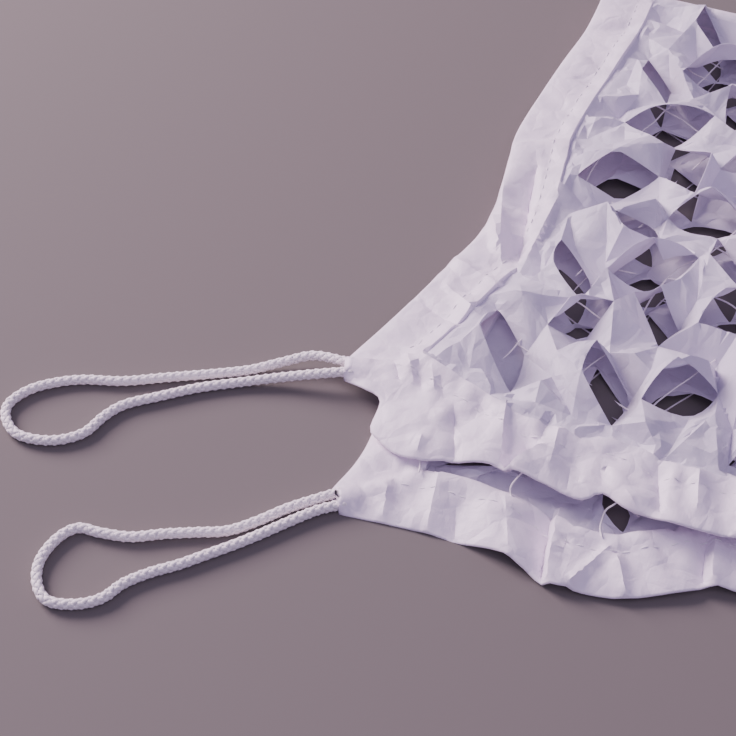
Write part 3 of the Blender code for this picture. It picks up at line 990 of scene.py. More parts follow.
    def row_knots(self, ring: Points, hem: list[Points]) -> tuple[list, list]:
        """Corners beyond the hem, along its inner side and on its edge, and their moves."""
        slight = self.lift[2]
        knots, moves = [], []
        for gap, size in ((self.hem_width + 14.0, 0.5 * slight), (self.hem_width + 2.6, 1.5),
                          (0.0, 0.0)):
            for line in hem:
                row = self.inset(line, gap)[2:-2:6]
                reach, _, _ = edge_gap(row, hem)
                row = row[(reach > gap - 0.8) & (row[:, 1] < FOLD_Y - 6)]
                if gap > self.hem_width + 8.0:
                    strays = np.array([(wobble(x, y, 20), wobble(x, y, 21)) for x, y in row])
                    row = row + self.wander * strays
                    away = np.array([self.slit_gap(place) for place in row])
                    row = row[(away > self.knot_room) & inside(row, ring)]
                knots += list(row)
                moves += [(0.0, 0.0, size * wobble(x, y, 18)) for x, y in row]
        return knots, moves

    def fold_knots(self) -> tuple[list, list]:
        """Corners on the fold line and just before it, which stay where they are."""
        knots = [np.array([x, y]) for x in np.arange(*FOLD_ENDS, 40.0) for y in (FOLD_Y - 12.0, FOLD_Y)]
        return knots, [(0.0, 0.0, 0.0)] * len(knots)

    def crease_net(self, ring: Points, hem: list[Points]) -> None:
        """Splits the layer into flat facets and says how far each corner moves.

        Facets whose corners all belong to one slit, and slivers, are left out.
        """
        knots, moves, edges = self.slit_knots()
        for more_knots, more_moves in (self.tile_knots(ring, hem), self.row_knots(ring, hem),
                                       self.fold_knots()):
            knots += more_knots
            moves += more_moves
        self.knots, self.moves = np.array(knots), np.array(moves)
        facets = triangles(self.knots, edges)
        same = (facets // 4 == facets[:, :1] // 4).all(axis=1)
        facets = facets[~(same & (facets < 4 * len(self.slits)).all(axis=1))]
        corners = self.knots[facets]
        area = np.cross(corners[:, 1] - corners[:, 0], corners[:, 2] - corners[:, 0])
        self.facets = facets[np.abs(area) > 1.0]

    def pressed_lines(self, rim: list[Points], ring: Points) -> Points:
        """Points a small step apart on the listed creases of this layer."""
        rows = []
        for upper, x0, y0, x1, y1, *_ in CREASES:
            if bool(upper) == (self.layer is Layer.UPPER):
                steps = max(2, round(math.hypot(x1 - x0, y1 - y0) / self.pressed_step))
                rows.append(np.linspace((x0, y0), (x1, y1), steps + 1))
        points = self.thinned(np.vstack(rows), 1.2)
        gap, _, _ = edge_gap(points, rim)
        return points[inside(points, ring) & (gap > 1.6) & (gap < 60.0)]

    def crease_points(self) -> Points:
        """Points along the facets' sides that lie in the field, one spacing apart."""
        sides = np.vstack([self.facets[:, [0, 1]], self.facets[:, [1, 2]], self.facets[:, [2, 0]]])
        sides = np.unique(np.sort(sides, axis=1), axis=0)
        groups = []
        for start, end in zip(self.knots[sides[:, 0]], self.knots[sides[:, 1]]):
            steps = max(2, round(np.linalg.norm(end - start) / self.spacing))
            groups.append(start + np.arange(steps + 1)[:, None] / steps * (end - start))
        return np.vstack(groups)

    def moved(self, plan: Points) -> Points:
        """How far plan points move: linear over the facet that each lies in.

        A point's weights in a facet are the areas that it cuts off it; the facet whose
        smallest weight is largest holds the point. The facet also bulges a little, by the
        product of the three weights.

        Args:
            plan: the plan points.

        Returns:
            A move along x, y and z for each.
        """
        a, b, c = (self.knots[self.facets[:, k]] for k in range(3))
        double = np.cross(b - a, c - a)
        parts = []
        for part in np.array_split(plan, max(1, len(plan) // 800)):
            offset = part[:, None] - a[None]
            u = (offset[..., 0] * (c - a)[:, 1] - offset[..., 1] * (c - a)[:, 0]) / double
            v = (offset[..., 1] * (b - a)[:, 0] - offset[..., 0] * (b - a)[:, 1]) / double
            weights = np.stack([1 - u - v, u, v], axis=2)
            best = weights.min(axis=2).argmax(axis=1)
            share = weights[np.arange(len(part)), best]
            moved = np.einsum("nk,nkj->nj", share, self.moves[self.facets[best]])
            inner = np.clip(share, 0, 1).prod(axis=1) * 27.0
            moved[:, 2] += self.bulge * np.sin(best * 2.4) * inner
            parts.append(moved)
        return np.vstack(parts)

    def thinned(self, points: Points, gap: float) -> Points:
        """Keeps one point of those that share a small square."""
        code = np.round(points / gap).astype(int)
        _, first = np.unique(code, axis=0, return_index=True)
        return points[np.sort(first)]

    def gathers(self, plan: Points) -> Points:
        """How far slits pull their surroundings: rounded lips and ridges from their ends.

        A lip is rounded by |u| - u^2 over its length, fading away from the slit. A ridge is
        a sine of the direction from the slit's end; it grows over a few millimetres and
        fades over a centimetre.

        Args:
            plan: the plan points.

        Returns:
            A move along x, y and z for each.
        """
        moved = np.zeros((len(plan), 3))
        spread, rise, _ = self.lift
        for number, slit in enumerate(self.slits):
            offset = plan - slit.middle
            near = np.flatnonzero(np.abs(offset).max(axis=1) < 50.0)
            u, v = offset[near] @ slit.along / slit.half, offset[near] @ slit.aside
            curve = np.clip(np.abs(u) - u * u, 0.0, None) * np.exp(-np.abs(v) / 9.0)
            curve *= np.tanh(v) * (0.45 + 0.9 * wobble(number, 7.0, 19))
            moved[near, :2] += spread * curve[:, None] * slit.aside
            moved[near, 2] += 0.8 * rise * slit.high_side * curve
            for end in (-1.0, 1.0):
                offset = plan - slit.middle - end * slit.half * slit.along
                near = np.flatnonzero(np.abs(offset).max(axis=1) < 30.0)
                x, y = offset[near] @ slit.along * end, offset[near] @ slit.aside
                reach = np.hypot(x, y) / 7.0
                fan = np.sin(4.0 * np.arctan2(y, x) + 2.1 * number + end)
                moved[near, 2] += self.gather * fan * reach * np.exp(1.0 - reach)
        return moved

    def hem_points(self, ring: Points, rim: list[Points], hem: list[Points], pressed: Points,
                   start: int) -> tuple[list[Points], list[Points]]:
        """Rows of points along the hem.

        The outer rows follow the cloth's edge and the others the line that it is sewn to.
        Points near a pressed line make way for it, apart from the seam's own.

        Args:
            ring: the layer's edge.
            rim: its hemmed lines.
            hem: the lines that the hem's width is measured from.
            pressed: points on the pressed lines.
            start: the number of the first point.

        Returns:
            The rows, and the point numbers of those that carry stitches.
        """
        open_plan = Occupancy()
        open_plan.mark(pressed, 1.8)
        rows, stitches = [], []
        for gap in self.hem_rows:
            outer = gap < self.outer_rows
            for sewn_line, edge_line in zip(hem, rim):
                row = self.inset(edge_line if outer else sewn_line, gap)
                reach, _, _ = edge_gap(row, rim if outer else hem)
                away, _, _ = edge_gap(row, rim)
                row = row[(reach > gap - 0.4) & (away > min(gap, self.outer_rows) - 0.4)
                          & inside(row, ring) & (row[:, 1] < FOLD_Y - 3.0)]
                if gap == self.stitch_gap:
                    stitches.append(np.arange(start, start + len(row)))
                else:
                    row = row[open_plan.free(row)]
                rows.append(row)
                start += len(row)
        return rows, stitches

    def field_points(self, ring: Points, rim: list[Points], hem: list[Points],
                     taken: Occupancy) -> list[Points]:
        """Points on the facets' sides, then on a fine grid in line with the slits.

        Args:
            ring: the layer's edge.
            rim: its hemmed lines.
            hem: the lines that the hem's width is measured from.
            taken: the plan with the points so far; the facets' sides are marked on it.

        Returns:
            The two groups of points.
        """
        lines = self.crease_points()
        gap, _, _ = edge_gap(lines, hem)
        lines = lines[(gap > self.hem_width + 5.0) & inside(lines, ring)
                      & (lines[:, 1] < FOLD_Y - 3.0)]
        lines = self.thinned(lines[taken.free(lines)], 2.2)
        taken.mark(lines, 0.55 * self.spacing)
        across, upward = self.pattern.axes()
        steps = round(self.pattern.pitch / self.spacing)
        a, b = np.meshgrid(np.arange(-9 * steps, 19 * steps), np.arange(-15 * steps, 17 * steps))
        grid = (np.array(self.pattern.first) + a.ravel()[:, None] * across / steps
                + b.ravel()[:, None] * upward / steps)
        grid = grid[(grid[:, 0] > -60) & (grid[:, 0] < 640) & (grid[:, 1] > -10)
                    & (grid[:, 1] < FOLD_Y - 2)]
        grid = grid[taken.free(grid)]
        grid = grid[inside(grid, ring)]
        gap, _, _ = edge_gap(grid, rim)
        return [lines, grid[gap > 0.55 * self.spacing]]

    def join_points(self, points: Points, ring: Points, lenses: list[Points]) -> Points:
        """Joins the points into triangles, none outside the edge or across a slit.

        Args:
            points: all points, those of the edge and of each slit's outline first.
            ring: the layer's edge.
            lenses: the slits' outlines.

        Returns:
            The triangles.
        """
        edges, start = [], 0
        for size in [len(ring)] + [len(lens) for lens in lenses]:
            edges += [(start + k, start + (k + 1) % size) for k in range(size)]
            start += size
        faces = triangles(points, edges)
        middles = points[faces].mean(axis=1)
        keep = inside(middles, ring)
        for lens in lenses:
            close = np.abs(middles - lens.mean(axis=0)).max(axis=1) < 45.0
            keep[close] &= ~inside(middles[close], lens)
        return faces[keep]

    def measure(self, rim: list[Points], hem: list[Points], sewn_ring: Points) -> None:
        """Says how far each point is from the edge and how high the edge is there."""
        self.gap, sewn_height, self.travel = edge_gap(self.points, hem)
        self.rim_gap, rim_height, _ = edge_gap(self.points, rim)
        share = np.clip(self.rim_gap / 25.0, 0.0, 1.0)
        self.edge_height = (1 - share) * rim_height + share * sewn_height
        beyond = (self.gap > self.rim_gap + 2.0) & (self.rim_gap < 20.0)
        beyond |= ~inside(self.points, sewn_ring)
        self.gap[beyond] = np.minimum(self.gap[beyond], 12.0)

    def build(self) -> None:
        """Lays out the points and joins them into triangles with the slits left open."""
        ring, rim = self.outline()
        sewn_ring, hem = self.outline(sewn=True)
        lenses = self.cut_slits(ring, hem)
        self.crease_net(ring, hem)
        pressed = self.pressed_lines(rim, ring)
        groups = [ring] + lenses
        rows, stitches = self.hem_points(ring, rim, hem, pressed, sum(map(len, groups)))
        groups += rows + [pressed]
        taken = Occupancy()
        for group in groups:
            taken.mark(group, 0.55 * self.spacing)
        points = np.vstack(groups + self.field_points(ring, rim, hem, taken))
        used, faces = np.unique(self.join_points(points, ring, lenses), return_inverse=True)
        place = np.full(len(points), -1)
        place[used] = np.arange(len(used))
        self.stitch_rows = [place[row][place[row] >= 0] for row in stitches]
        self.points, self.faces = points[used], faces.reshape(-1, 3)
        self.measure(rim, hem, sewn_ring)


# columns: x, y, height of the rope's middle
UPPER_LEFT_ROUTE = [
    (-60, 103, 8.5), (-77, 93, 5.3), (-93, 81, 3.6), (-113, 69, 3.4), (-138, 55, 3.4),
    (-161, 42, 3.4), (-183, 34, 3.4), (-198, 25, 3.4), (-210, 13, 3.4), (-215, -2, 3.4),
    (-208, -14, 3.4), (-195, -20, 3.4), (-176, -16, 3.4), (-162, -4, 3.4), (-157, 13, 3.4),
    (-150, 26, 3.4), (-134, 40, 3.4), (-116, 55, 3.4), (-96, 68, 3.6), (-73, 80, 6.0),
    (-53, 88, 9.6)]
LOWER_LEFT_ROUTE = [
    (-16, 3, 3.8), (-27, -8, 3.5), (-39, -23, 3.4), (-51, -35, 3.4), (-67, -43, 3.4),
    (-83, -51, 3.4), (-99, -60, 3.4), (-116, -64, 3.4), (-129, -66, 3.4), (-136, -77, 3.4),
    (-137, -94, 3.4), (-130, -108, 3.4), (-119, -115, 3.4), (-104, -111, 3.4), (-93, -102, 3.4),
    (-87, -89, 3.4), (-77, -77, 3.4), (-65, -66, 3.4), (-54, -54, 3.4), (-43, -42, 3.4),
    (-33, -30, 3.4), (-22, -16, 3.5), (-11, -3, 3.8)]


@dataclass
class Cloth:
    """The folded cloth: both layers in facets, joined round the fold, with its creases.

    Every slit lifts the cloth on one side of it, lowers it on the other and pushes both
    apart, and the field between slits leans with them as flat facets with crisp lines. The
    hems stay smooth. The listed creases are pressed in last, as tents over a line.
    """

    pattern: SlitPattern = field(default_factory=SlitPattern)
    spacing: float = 4.4
    lower_fold: float = 2.6
    upper_fold: float = 20.6
    fold_rows: int = 5
    fold_length: float = 30.0
    lift: dict[Layer, tuple[float, float, float]] = field(default_factory=lambda: {
        Layer.LOWER: (10.5, 5.0, 3.0), Layer.UPPER: (12.5, 12.5, 9.0)})
    base: dict[Layer, tuple[float, float]] = field(default_factory=lambda: {
        Layer.LOWER: (4.5, 0.9), Layer.UPPER: (25.0, 2.2)})
    room: dict[Layer, tuple[float, float]] = field(default_factory=lambda: {
        Layer.LOWER: (0.6, 13.0), Layer.UPPER: (7.0, 44.0)})
    lip: dict[Layer, float] = field(default_factory=lambda: {Layer.LOWER: 5.5, Layer.UPPER: 2.5})
    hem_width: float = 38.0
    hem_thick: float = 3.4
    thin: float = 0.35
    mouth_swell: float = 7.6
    pocket_depth: float = 5.0
    pocket_half: float = 1.2
    floor_gap: float = 0.06

    points: Points = field(init=False)
    flat: Points = field(init=False)
    faces: Points = field(init=False)
    gap: Points = field(init=False)
    rim_gap: Points = field(init=False)
    travel: Points = field(init=False)
    layer_of: Points = field(init=False)
    stitch_rows: list[Points] = field(init=False)
    plan: Points = field(init=False)
    pressed: Points = field(init=False)
    front: Points = field(init=False)
    back: Points = field(init=False)

    def swell(self, plan: Points) -> Points:
        """Broad low waves over the plan."""
        x, y = plan[:, 0], plan[:, 1]
        return (np.sin(x / 61 + 0.8) * np.cos(y / 73 - 0.4)
                + 0.6 * np.sin((x + y) / 47))

    def lay_out(self) -> None:
        """Makes both layers and the fold, and gives every point its height.

        The upper layer's own top is the cloth's other side, so its faces are wound back.
        """
        fold_xs = np.linspace(*FOLD_ENDS, round((FOLD_ENDS[1] - FOLD_ENDS[0]) / self.spacing) + 1)
        lower = FlatLayer(Layer.LOWER, self.pattern, self.spacing, fold_xs, self.lower_fold,
                          self.lift[Layer.LOWER])
        upper = FlatLayer(Layer.UPPER, self.pattern, self.spacing, fold_xs, self.upper_fold,
                          self.lift[Layer.UPPER])
        lower.build()
        upper.build()
        start = len(lower.points)
        self.points = np.vstack([self.opened(lower), self.opened(upper)])
        unfolded = upper.points * [1, -1] + [0, 2 * FOLD_Y + self.fold_length]
        self.flat = np.vstack([lower.points, unfolded])
        self.gap = np.append(lower.gap, upper.gap)
        self.rim_gap = np.append(lower.rim_gap, upper.rim_gap)
        self.travel = np.append(lower.travel, upper.travel + 4000.0)
        self.layer_of = np.arange(len(self.points)) >= start
        self.stitch_rows = lower.stitch_rows + [row + start for row in upper.stitch_rows]
        self.faces = np.vstack([lower.faces, upper.faces[:, ::-1] + start])
        self.plan = self.points[:, :2].copy()
        self.join_fold(fold_xs)
        self.plan = np.vstack([self.plan, self.points[len(self.plan):, :2]])

    def opened(self, sheet: FlatLayer) -> Points:
        """A layer's points at their heights, with the facets turned and the slits open."""
        placed = np.column_stack([sheet.points, self.first_height(sheet)])
        placed += sheet.moved(sheet.points)
        inner = np.clip((sheet.gap - self.hem_width) / 8.0, 0.0, 1.0)
        placed += inner[:, None] * sheet.gathers(sheet.points)
        placed[:, 2] = np.clip(placed[:, 2], *self.room[sheet.layer])
        return placed

    def first_height(self, sheet: FlatLayer) -> Points:
        """Height from the hem's edge to the field, and level on the fold."""
        middle, wave = self.base[sheet.layer]
        height = middle + wave * self.swell(sheet.points)
        share = np.clip((sheet.gap - self.hem_width / 2) / self.hem_width, 0.0, 1.0)
        share = share * share * (3 - 2 * share)
        half = 0.5 * np.interp(sheet.rim_gap, [0, 3, 12], [1.0, 2.2, self.hem_thick])
        blended = (1 - share) * (sheet.edge_height + half) + share * height
        blended += (self.lip[sheet.layer] * np.interp(sheet.gap, [14, 36, 38.5, 39.8], [0, 1, 1, 0])
                    * (0.65 + 0.35 * np.sin(sheet.travel / 23.0)))
        near = np.clip((FOLD_Y - sheet.points[:, 1]) / 60.0, 0.0, 1.0)
        return near * blended + (1 - near) * sheet.fold_height

    def join_fold(self, fold_xs: Points) -> None:
        """Carries the cloth from the lower layer round the fold to the upper one.

        Each row is a step of a half circle from the lower fold line to the upper one, with
        a few waves along it.

        Args:
            fold_xs: where the fold line's points lie.
        """
        ends = [np.array([self.find(x, layer) for x in fold_xs]) for layer in (False, True)]
        radius = (self.upper_fold - self.lower_fold) / 2
        rows, start = [ends[0]], len(self.points)
        for k in range(1, self.fold_rows + 1):
            turn = math.pi * k / (self.fold_rows + 1)
            y = FOLD_Y + radius * math.sin(turn) * 0.9
            z = self.lower_fold + radius * (1 - math.cos(turn))
            bent = math.sin(turn) * (1.1 * ripple(fold_xs / 43.0, 2.3)
                                     + 0.5 * np.sin(fold_xs / 5.1 + 2.0 * k))
            flat_y = np.full(len(fold_xs), FOLD_Y + self.fold_length * k / (self.fold_rows + 1))
            fresh = np.column_stack([fold_xs, y - 1.0 + bent, z + 0.5 * bent])
            self.points = np.vstack([self.points, fresh])
            self.flat = np.vstack([self.flat, np.column_stack([fold_xs, flat_y])])
            rows.append(np.arange(start, start + len(fold_xs)))
            start += len(fold_xs)
        rows.append(ends[1])
        side = np.tile(np.minimum(fold_xs - FOLD_ENDS[0], FOLD_ENDS[1] - fold_xs), self.fold_rows)
        self.gap = np.append(self.gap, side)
        self.rim_gap = np.append(self.rim_gap, side)
        self.travel = np.append(self.travel, np.zeros(len(side)))
        self.layer_of = np.append(self.layer_of, np.ones(len(side), bool))
        strips = []
        for low, high in zip(rows[:-1], rows[1:]):
            strips.append(np.column_stack([low[:-1], low[1:], high[1:]]))
            strips.append(np.column_stack([low[:-1], high[1:], high[:-1]]))
        self.faces = np.vstack([self.faces] + strips)

    def find(self, x: float, upper: bool) -> int:
        """The point of a layer on the fold line at a given x."""
        far = (np.abs(self.points[:, 0] - x) + np.abs(self.points[:, 1] - FOLD_Y)
               + 1000.0 * (self.layer_of != upper))
        return int(far.argmin())

    def normals(self) -> Points:
        """Unit normals at the points, each the sum of its faces' normals by area."""
        a, b, c = (self.points[self.faces[:, k]] for k in range(3))
        cross = np.cross(b - a, c - a)
        total = np.stack([sum(np.bincount(self.faces[:, k], cross[:, axis], len(self.points))
                              for k in range(3)) for axis in range(3)], axis=1)
        return total / np.maximum(np.linalg.norm(total, axis=1), 1e-9)[:, None]

    def crease(self) -> None:
        """Presses the listed creases in: each is a tent over a line, with tapered ends."""
        self.pressed = np.zeros(len(self.points), bool)
        for upper, x0, y0, x1, y1, height, left, right in CREASES:
            start, run = np.array([x0, y0]), np.array([x1 - x0, y1 - y0], float)
            length = np.linalg.norm(run)
            offset = self.plan - start
            along = offset @ run / length ** 2
            aside = offset @ np.array([-run[1], run[0]]) / length
            tent = np.clip(1 - np.abs(aside) / np.where(aside > 0, left, right), 0, 1)
            ends = np.clip(4.0 * (0.55 - np.abs(along - 0.5)), 0, 1)
            here = self.layer_of == bool(upper)
            self.points[:, 2] += height * tent * ends * here
            self.pressed |= here & (np.abs(aside) < 0.3) & (np.abs(along - 0.5) < 0.52)

    def thickness(self) -> Points:
        """Cloth thickness: the hem's soft tube, its seam, the field, and the swollen mouths."""
        profile = np.minimum(
            np.interp(self.gap, [12, 22, 26.5, 28, 29.5, 34, 38.6, 39.6],
                      [self.hem_thick, 2.5, 1.1, 0.8, 1.1, 1.9, 1.8, self.thin]),
            np.interp(self.rim_gap, [0, 3, 12], [1.0, 2.2, self.hem_thick]))
        for layer, mouth in corner_mouths():
            offset = self.points[:, :2] - [mouth.x, mouth.y]
            along = np.abs(offset @ mouth.sideways)
            depth = np.clip(1 + np.minimum(offset @ mouth.facing, 0) / 60.0, 0, 1)
            wide = np.clip(1 - (along / (mouth.width / 2)) ** 2, 0, 1) ** 0.35
            near = (self.layer_of == (layer is Layer.UPPER)) & (np.abs(offset).max(axis=1) < 90)
            swollen = np.maximum(profile, 1.0 + self.mouth_swell * wide * depth)
            profile = np.where(near, swollen, profile)
        return profile

    def puckers(self) -> Points:
        """Small waves that the stitches gather, and longer creases over the hem's tube."""
        off = self.gap - self.hem_width + 10.0
        near = np.exp(-(off / 7.0) ** 2)
        small = 0.75 * near * ripple((self.travel + 0.35 * off) / 11.0, 0.7)
        over = np.clip(self.gap / 6.0, 0, 1) * np.clip((41.0 - self.gap) / 6.0, 0, 1)
        slanted = ripple((self.travel + 0.5 * self.gap) / 31.0, 1.9)
        return small + 0.7 * over * (np.abs(slanted) ** 1.5 - 0.35)

    def boundary(self) -> Points:
        """Edges with a face on one side only, directed as their face runs."""
        sides = np.vstack([self.faces[:, [0, 1]], self.faces[:, [1, 2]], self.faces[:, [2, 0]]])
        ordered = np.sort(sides, axis=1)
        code = ordered[:, 0].astype(np.int64) * len(self.points) + ordered[:, 1]
        _, first, times = np.unique(code, return_index=True, return_counts=True)
        return sides[first[times == 1]]

    def thicken(self) -> None:
        """Sets the cloth's two faces half a thickness to each side, with the puckers."""
        normal = self.normals()
        thick = self.thickness()
        self.points[:, 2] += np.clip(thick - self.hem_thick, 0.0, None) / 2
        half = thick[:, None] / 2
        crease = self.puckers()[:, None] * np.where(normal[:, 2:] < 0, -1.0, 1.0)
        self.front = self.points + normal * (half + crease)
        self.back = self.points - normal * half + normal * crease * 0.8
        for side in (self.front, self.back):
            side[:, 2] = np.maximum(side[:, 2], self.floor_gap)

    def piece(self) -> bpy.types.Object:
        """The closed sheet: both faces of the cloth, and its cut edges between them."""
        self.thicken()
        count = len(self.points)
        rim = self.boundary()
        pockets, owners, lining, rim = self.pockets(rim)
        walls = np.vstack([np.column_stack([rim[:, 1], rim[:, 0], rim[:, 0] + count]),
                           np.column_stack([rim[:, 1], rim[:, 0] + count, rim[:, 1] + count])])
        faces = np.vstack([self.faces, self.faces[:, ::-1] + count, walls, lining])
        weave = np.vstack([self.flat, self.flat, self.flat[owners]])
        points = np.vstack([self.front, self.back, pockets])
        crisp = (self.gap > self.hem_width) | self.pressed
        crisp = np.concatenate([crisp, crisp, np.zeros(len(pockets), bool)])
        made = add_mesh("netting_cloth", points, faces, weave, crisp)
        # hem mask: the doubled cloth lets less light through, and the finish paints it brighter and pinker,
        # partly as painted light
        doubled = np.clip((self.hem_width + 1.6 - self.gap) / 1.2, 0.0, 1.0)
        doubled = np.concatenate([doubled, doubled, np.ones(len(pockets))])
        layer = made.data.attributes.new("doubled", "FLOAT", "POINT")
        layer.data.foreach_set("value", doubled.astype(np.float32))
        return made

    def pockets(self, rim: Points) -> tuple[Points, Points, Points, Points]:
        """Lines each mouth with an inner pocket instead of a plain edge.

        Rows of points run across the mouth: a lip inside the top edge, the pocket's far
        end above and below, and a lip inside the bottom edge. At the mouth's two ends all
        rows meet the cloth's own edge.

        Args:
            rim: the cloth's boundary edges.

        Returns:
            The new points, the number of the cloth point that each belongs to, the new
            faces, and the boundary edges that still need a plain wall.
        """
        count = len(self.points)
        made, owners, faces, keep = [], [], [], np.ones(len(rim), bool)
        for layer, mouth in corner_mouths():
            ends = np.linspace(*mouth.ends(), MOUTH_POINTS)[:, :2]
            far = np.linalg.norm(self.plan[None] - ends[:, None], axis=2)
            far += 1000.0 * (self.layer_of != (layer is Layer.UPPER))
            chain = far.argmin(axis=1)
            keep &= ~np.isin(rim, chain).all(axis=1)
            inner = chain[1:-1]
            sides = [(self.front, 0), (self.back, count)]
            sides.sort(key=lambda side: -side[0][inner, 2].mean())
            (top, top_start), (low, low_start) = sides
            inward = -np.append(mouth.facing, 0.0)
            deep = self.points[inner] + self.pocket_depth * inward
            lip, half = np.array([0, 0, 0.5]), np.array([0, 0, self.pocket_half])
            rows = [top[inner] - lip + inward, deep + half, deep - half, low[inner] + lip + inward]
            lines = [chain + top_start]
            for number, row in enumerate(rows):
                own = 2 * count + sum(map(len, made)) + np.arange(len(inner))
                outer = top_start if number < 2 else low_start
                lines.append(np.concatenate([[chain[0] + outer], own, [chain[-1] + outer]]))
                made.append(row)
                owners.append(inner)
            lines.append(chain + low_start)
            for one, two in zip(lines[:-1], lines[1:]):
                faces.append(np.column_stack([one[:-1], two[:-1], two[1:]]))
                faces.append(np.column_stack([one[:-1], two[1:], one[1:]]))
        lining = np.vstack(faces)
        whole = ((lining[:, 0] != lining[:, 1]) & (lining[:, 1] != lining[:, 2])
                 & (lining[:, 0] != lining[:, 2]))
        return np.vstack(made), np.concatenate(owners), lining[whole], rim[keep]

    def build(self) -> bpy.types.Object:
        self.lay_out()
        self.crease()
        made = self.piece()
        CLOTH.dress(made)
        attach(made, "root")
        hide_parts("netting")
        return made


@dataclass
class Stitching:
    """Running stitches of white thread along the hems, 28 mm from the edge."""

    length: float = 5.6
    spacing: float = 9.2
    radius: float = 0.32
    bow: float = 0.4
    sunk: float = 0.2
    rings: int = 7
    sides: int = 6

    def paths(self, line: Points) -> Points:
        """Each stitch's middle line, for a seam given by points 1 mm apart.

        A stitch bows up by a sine over its length, with its ends sunk into their holes.

        Args:
            line: the seam on the cloth's top.

        Returns:
            An array of stitches, rings and coordinates.
        """
        travel = np.arange(len(line), dtype=float)
        starts = 3.0 + self.spacing * np.arange(int((travel[-1] - 4.0) / self.spacing))
        starts = starts + 1.1 * np.sin(starts * 1.7)
        share = np.linspace(0, 1, self.rings)
        stops = starts[:, None] + self.length * share * (1 + 0.12 * np.sin(starts * 0.9))[:, None]
        path = np.stack([np.interp(stops, travel, line[:, k]) for k in range(3)], axis=2)
        path[:, :, 2] += self.bow * np.sin(math.pi * share) - self.sunk
        return path

    def tubes(self, path: Points) -> tuple[Points, Points]:
        """A short tube round each stitch's line, which narrows to its ends by a sine."""
        along = np.gradient(path, axis=1)
        along /= np.linalg.norm(along, axis=2)[..., None]
        aside = np.cross(along, [0.0, 0.0, 1.0])
        aside /= np.linalg.norm(aside, axis=2)[..., None] + 1e-9
        above = np.cross(aside, along)
        turn = 2 * math.pi * np.arange(self.sides) / self.sides
        share = np.linspace(0, 1, self.rings)
        size = self.radius * np.maximum(np.sin(math.pi * share) ** 0.4, 0.12)
        ring = size[None, :, None, None] * (np.cos(turn)[None, None, :, None] * aside[:, :, None]
                                            + np.sin(turn)[None, None, :, None] * above[:, :, None])
        shift = self.rings * self.sides * np.arange(len(path))
        faces = grid_faces(self.rings, self.sides)[None] + shift[:, None, None]
        return (path[:, :, None] + ring).reshape(-1, 3), faces.reshape(-1, 4)

    def build(self, cloth: Cloth) -> bpy.types.Object:
        """Lays the stitches on the cloth's top.

        Args:
            cloth: the finished cloth.

        Returns:
            All stitches as one piece.
        """
        parts = []
        for row in cloth.stitch_rows:
            upper = cloth.front[row, 2].mean() > cloth.back[row, 2].mean()
            line = smooth_line((cloth.front if upper else cloth.back)[row], 1.0)
            parts.append(self.tubes(self.paths(line)))
        made = add_mesh("hem_stitches", *join(parts))
        THREAD.dress(made)
        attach(made, "root")
        return made


# columns: x, y, height; strings that hang from under the upper front hem to the lower one
HANGING_STRINGS = [
    [(92, 62, 19), (89, 54, 17), (87, 50, 13), (88, 47, 10), (91, 43.5, 9), (95, 40, 9.5), (100, 36, 7)],
    [(150, 66, 18), (145, 58, 16), (141.5, 54.6, 13), (141, 50, 10), (142, 43.5, 9), (145, 38, 9)],
    [(27, 58, 12), (31, 50, 10), (33, 46, 9), (34, 41, 9)],
]


class HeightMap:
    """The cloth's mean height over the plan, on square cells, smoothed over three by three."""

    cell: float = 12.0
    low = np.array([-60.0, -40.0])
    shape = (64, 56)

    def __init__(self, cloth_points: Points) -> None:
        """Gathers the heights.

        Args:
            cloth_points: points of the cloth's field.
        """
        column, row = np.floor((cloth_points[:, :2] - self.low) / self.cell).astype(int).T
        code = np.ravel_multi_index((column, row), self.shape)
        size = self.shape[0] * self.shape[1]
        count = np.bincount(code, minlength=size).reshape(self.shape).astype(float)
        total = np.bincount(code, cloth_points[:, 2], size).reshape(self.shape)
        for _ in range(2):
            count, total = self.spread(count), self.spread(total)
        self.mean = total / np.maximum(count, 1e-9)
        self.filled = np.zeros(self.shape, bool)
        self.filled[column, row] = True

    def spread(self, values: Points) -> Points:
        """Each cell's sum with its eight neighbours."""
        padded = np.pad(values, 1)
        return sum(padded[i:i + self.shape[0], j:j + self.shape[1]] for i in range(3) for j in range(3))

    def look(self, plan: Points) -> tuple[Points, Points]:
        """Reads the map, linearly between the cells' middles.

        Args:
            plan: the places to read.

        Returns:
            The height at each, and whether there is cloth.
        """
        spot = (plan - self.low) / self.cell
        base = np.clip(np.floor(spot - 0.5).astype(int), 0, np.array(self.shape) - 2)
        a, b = np.clip(spot - 0.5 - base, 0, 1).T
        i, j = base.T
        height = ((1 - a) * (1 - b) * self.mean[i, j] + a * (1 - b) * self.mean[i + 1, j]
                  + (1 - a) * b * self.mean[i, j + 1] + a * b * self.mean[i + 1, j + 1])
        column, row = np.clip(np.floor(spot).astype(int), 0, np.array(self.shape) - 1).T
        return height, self.filled[column, row]


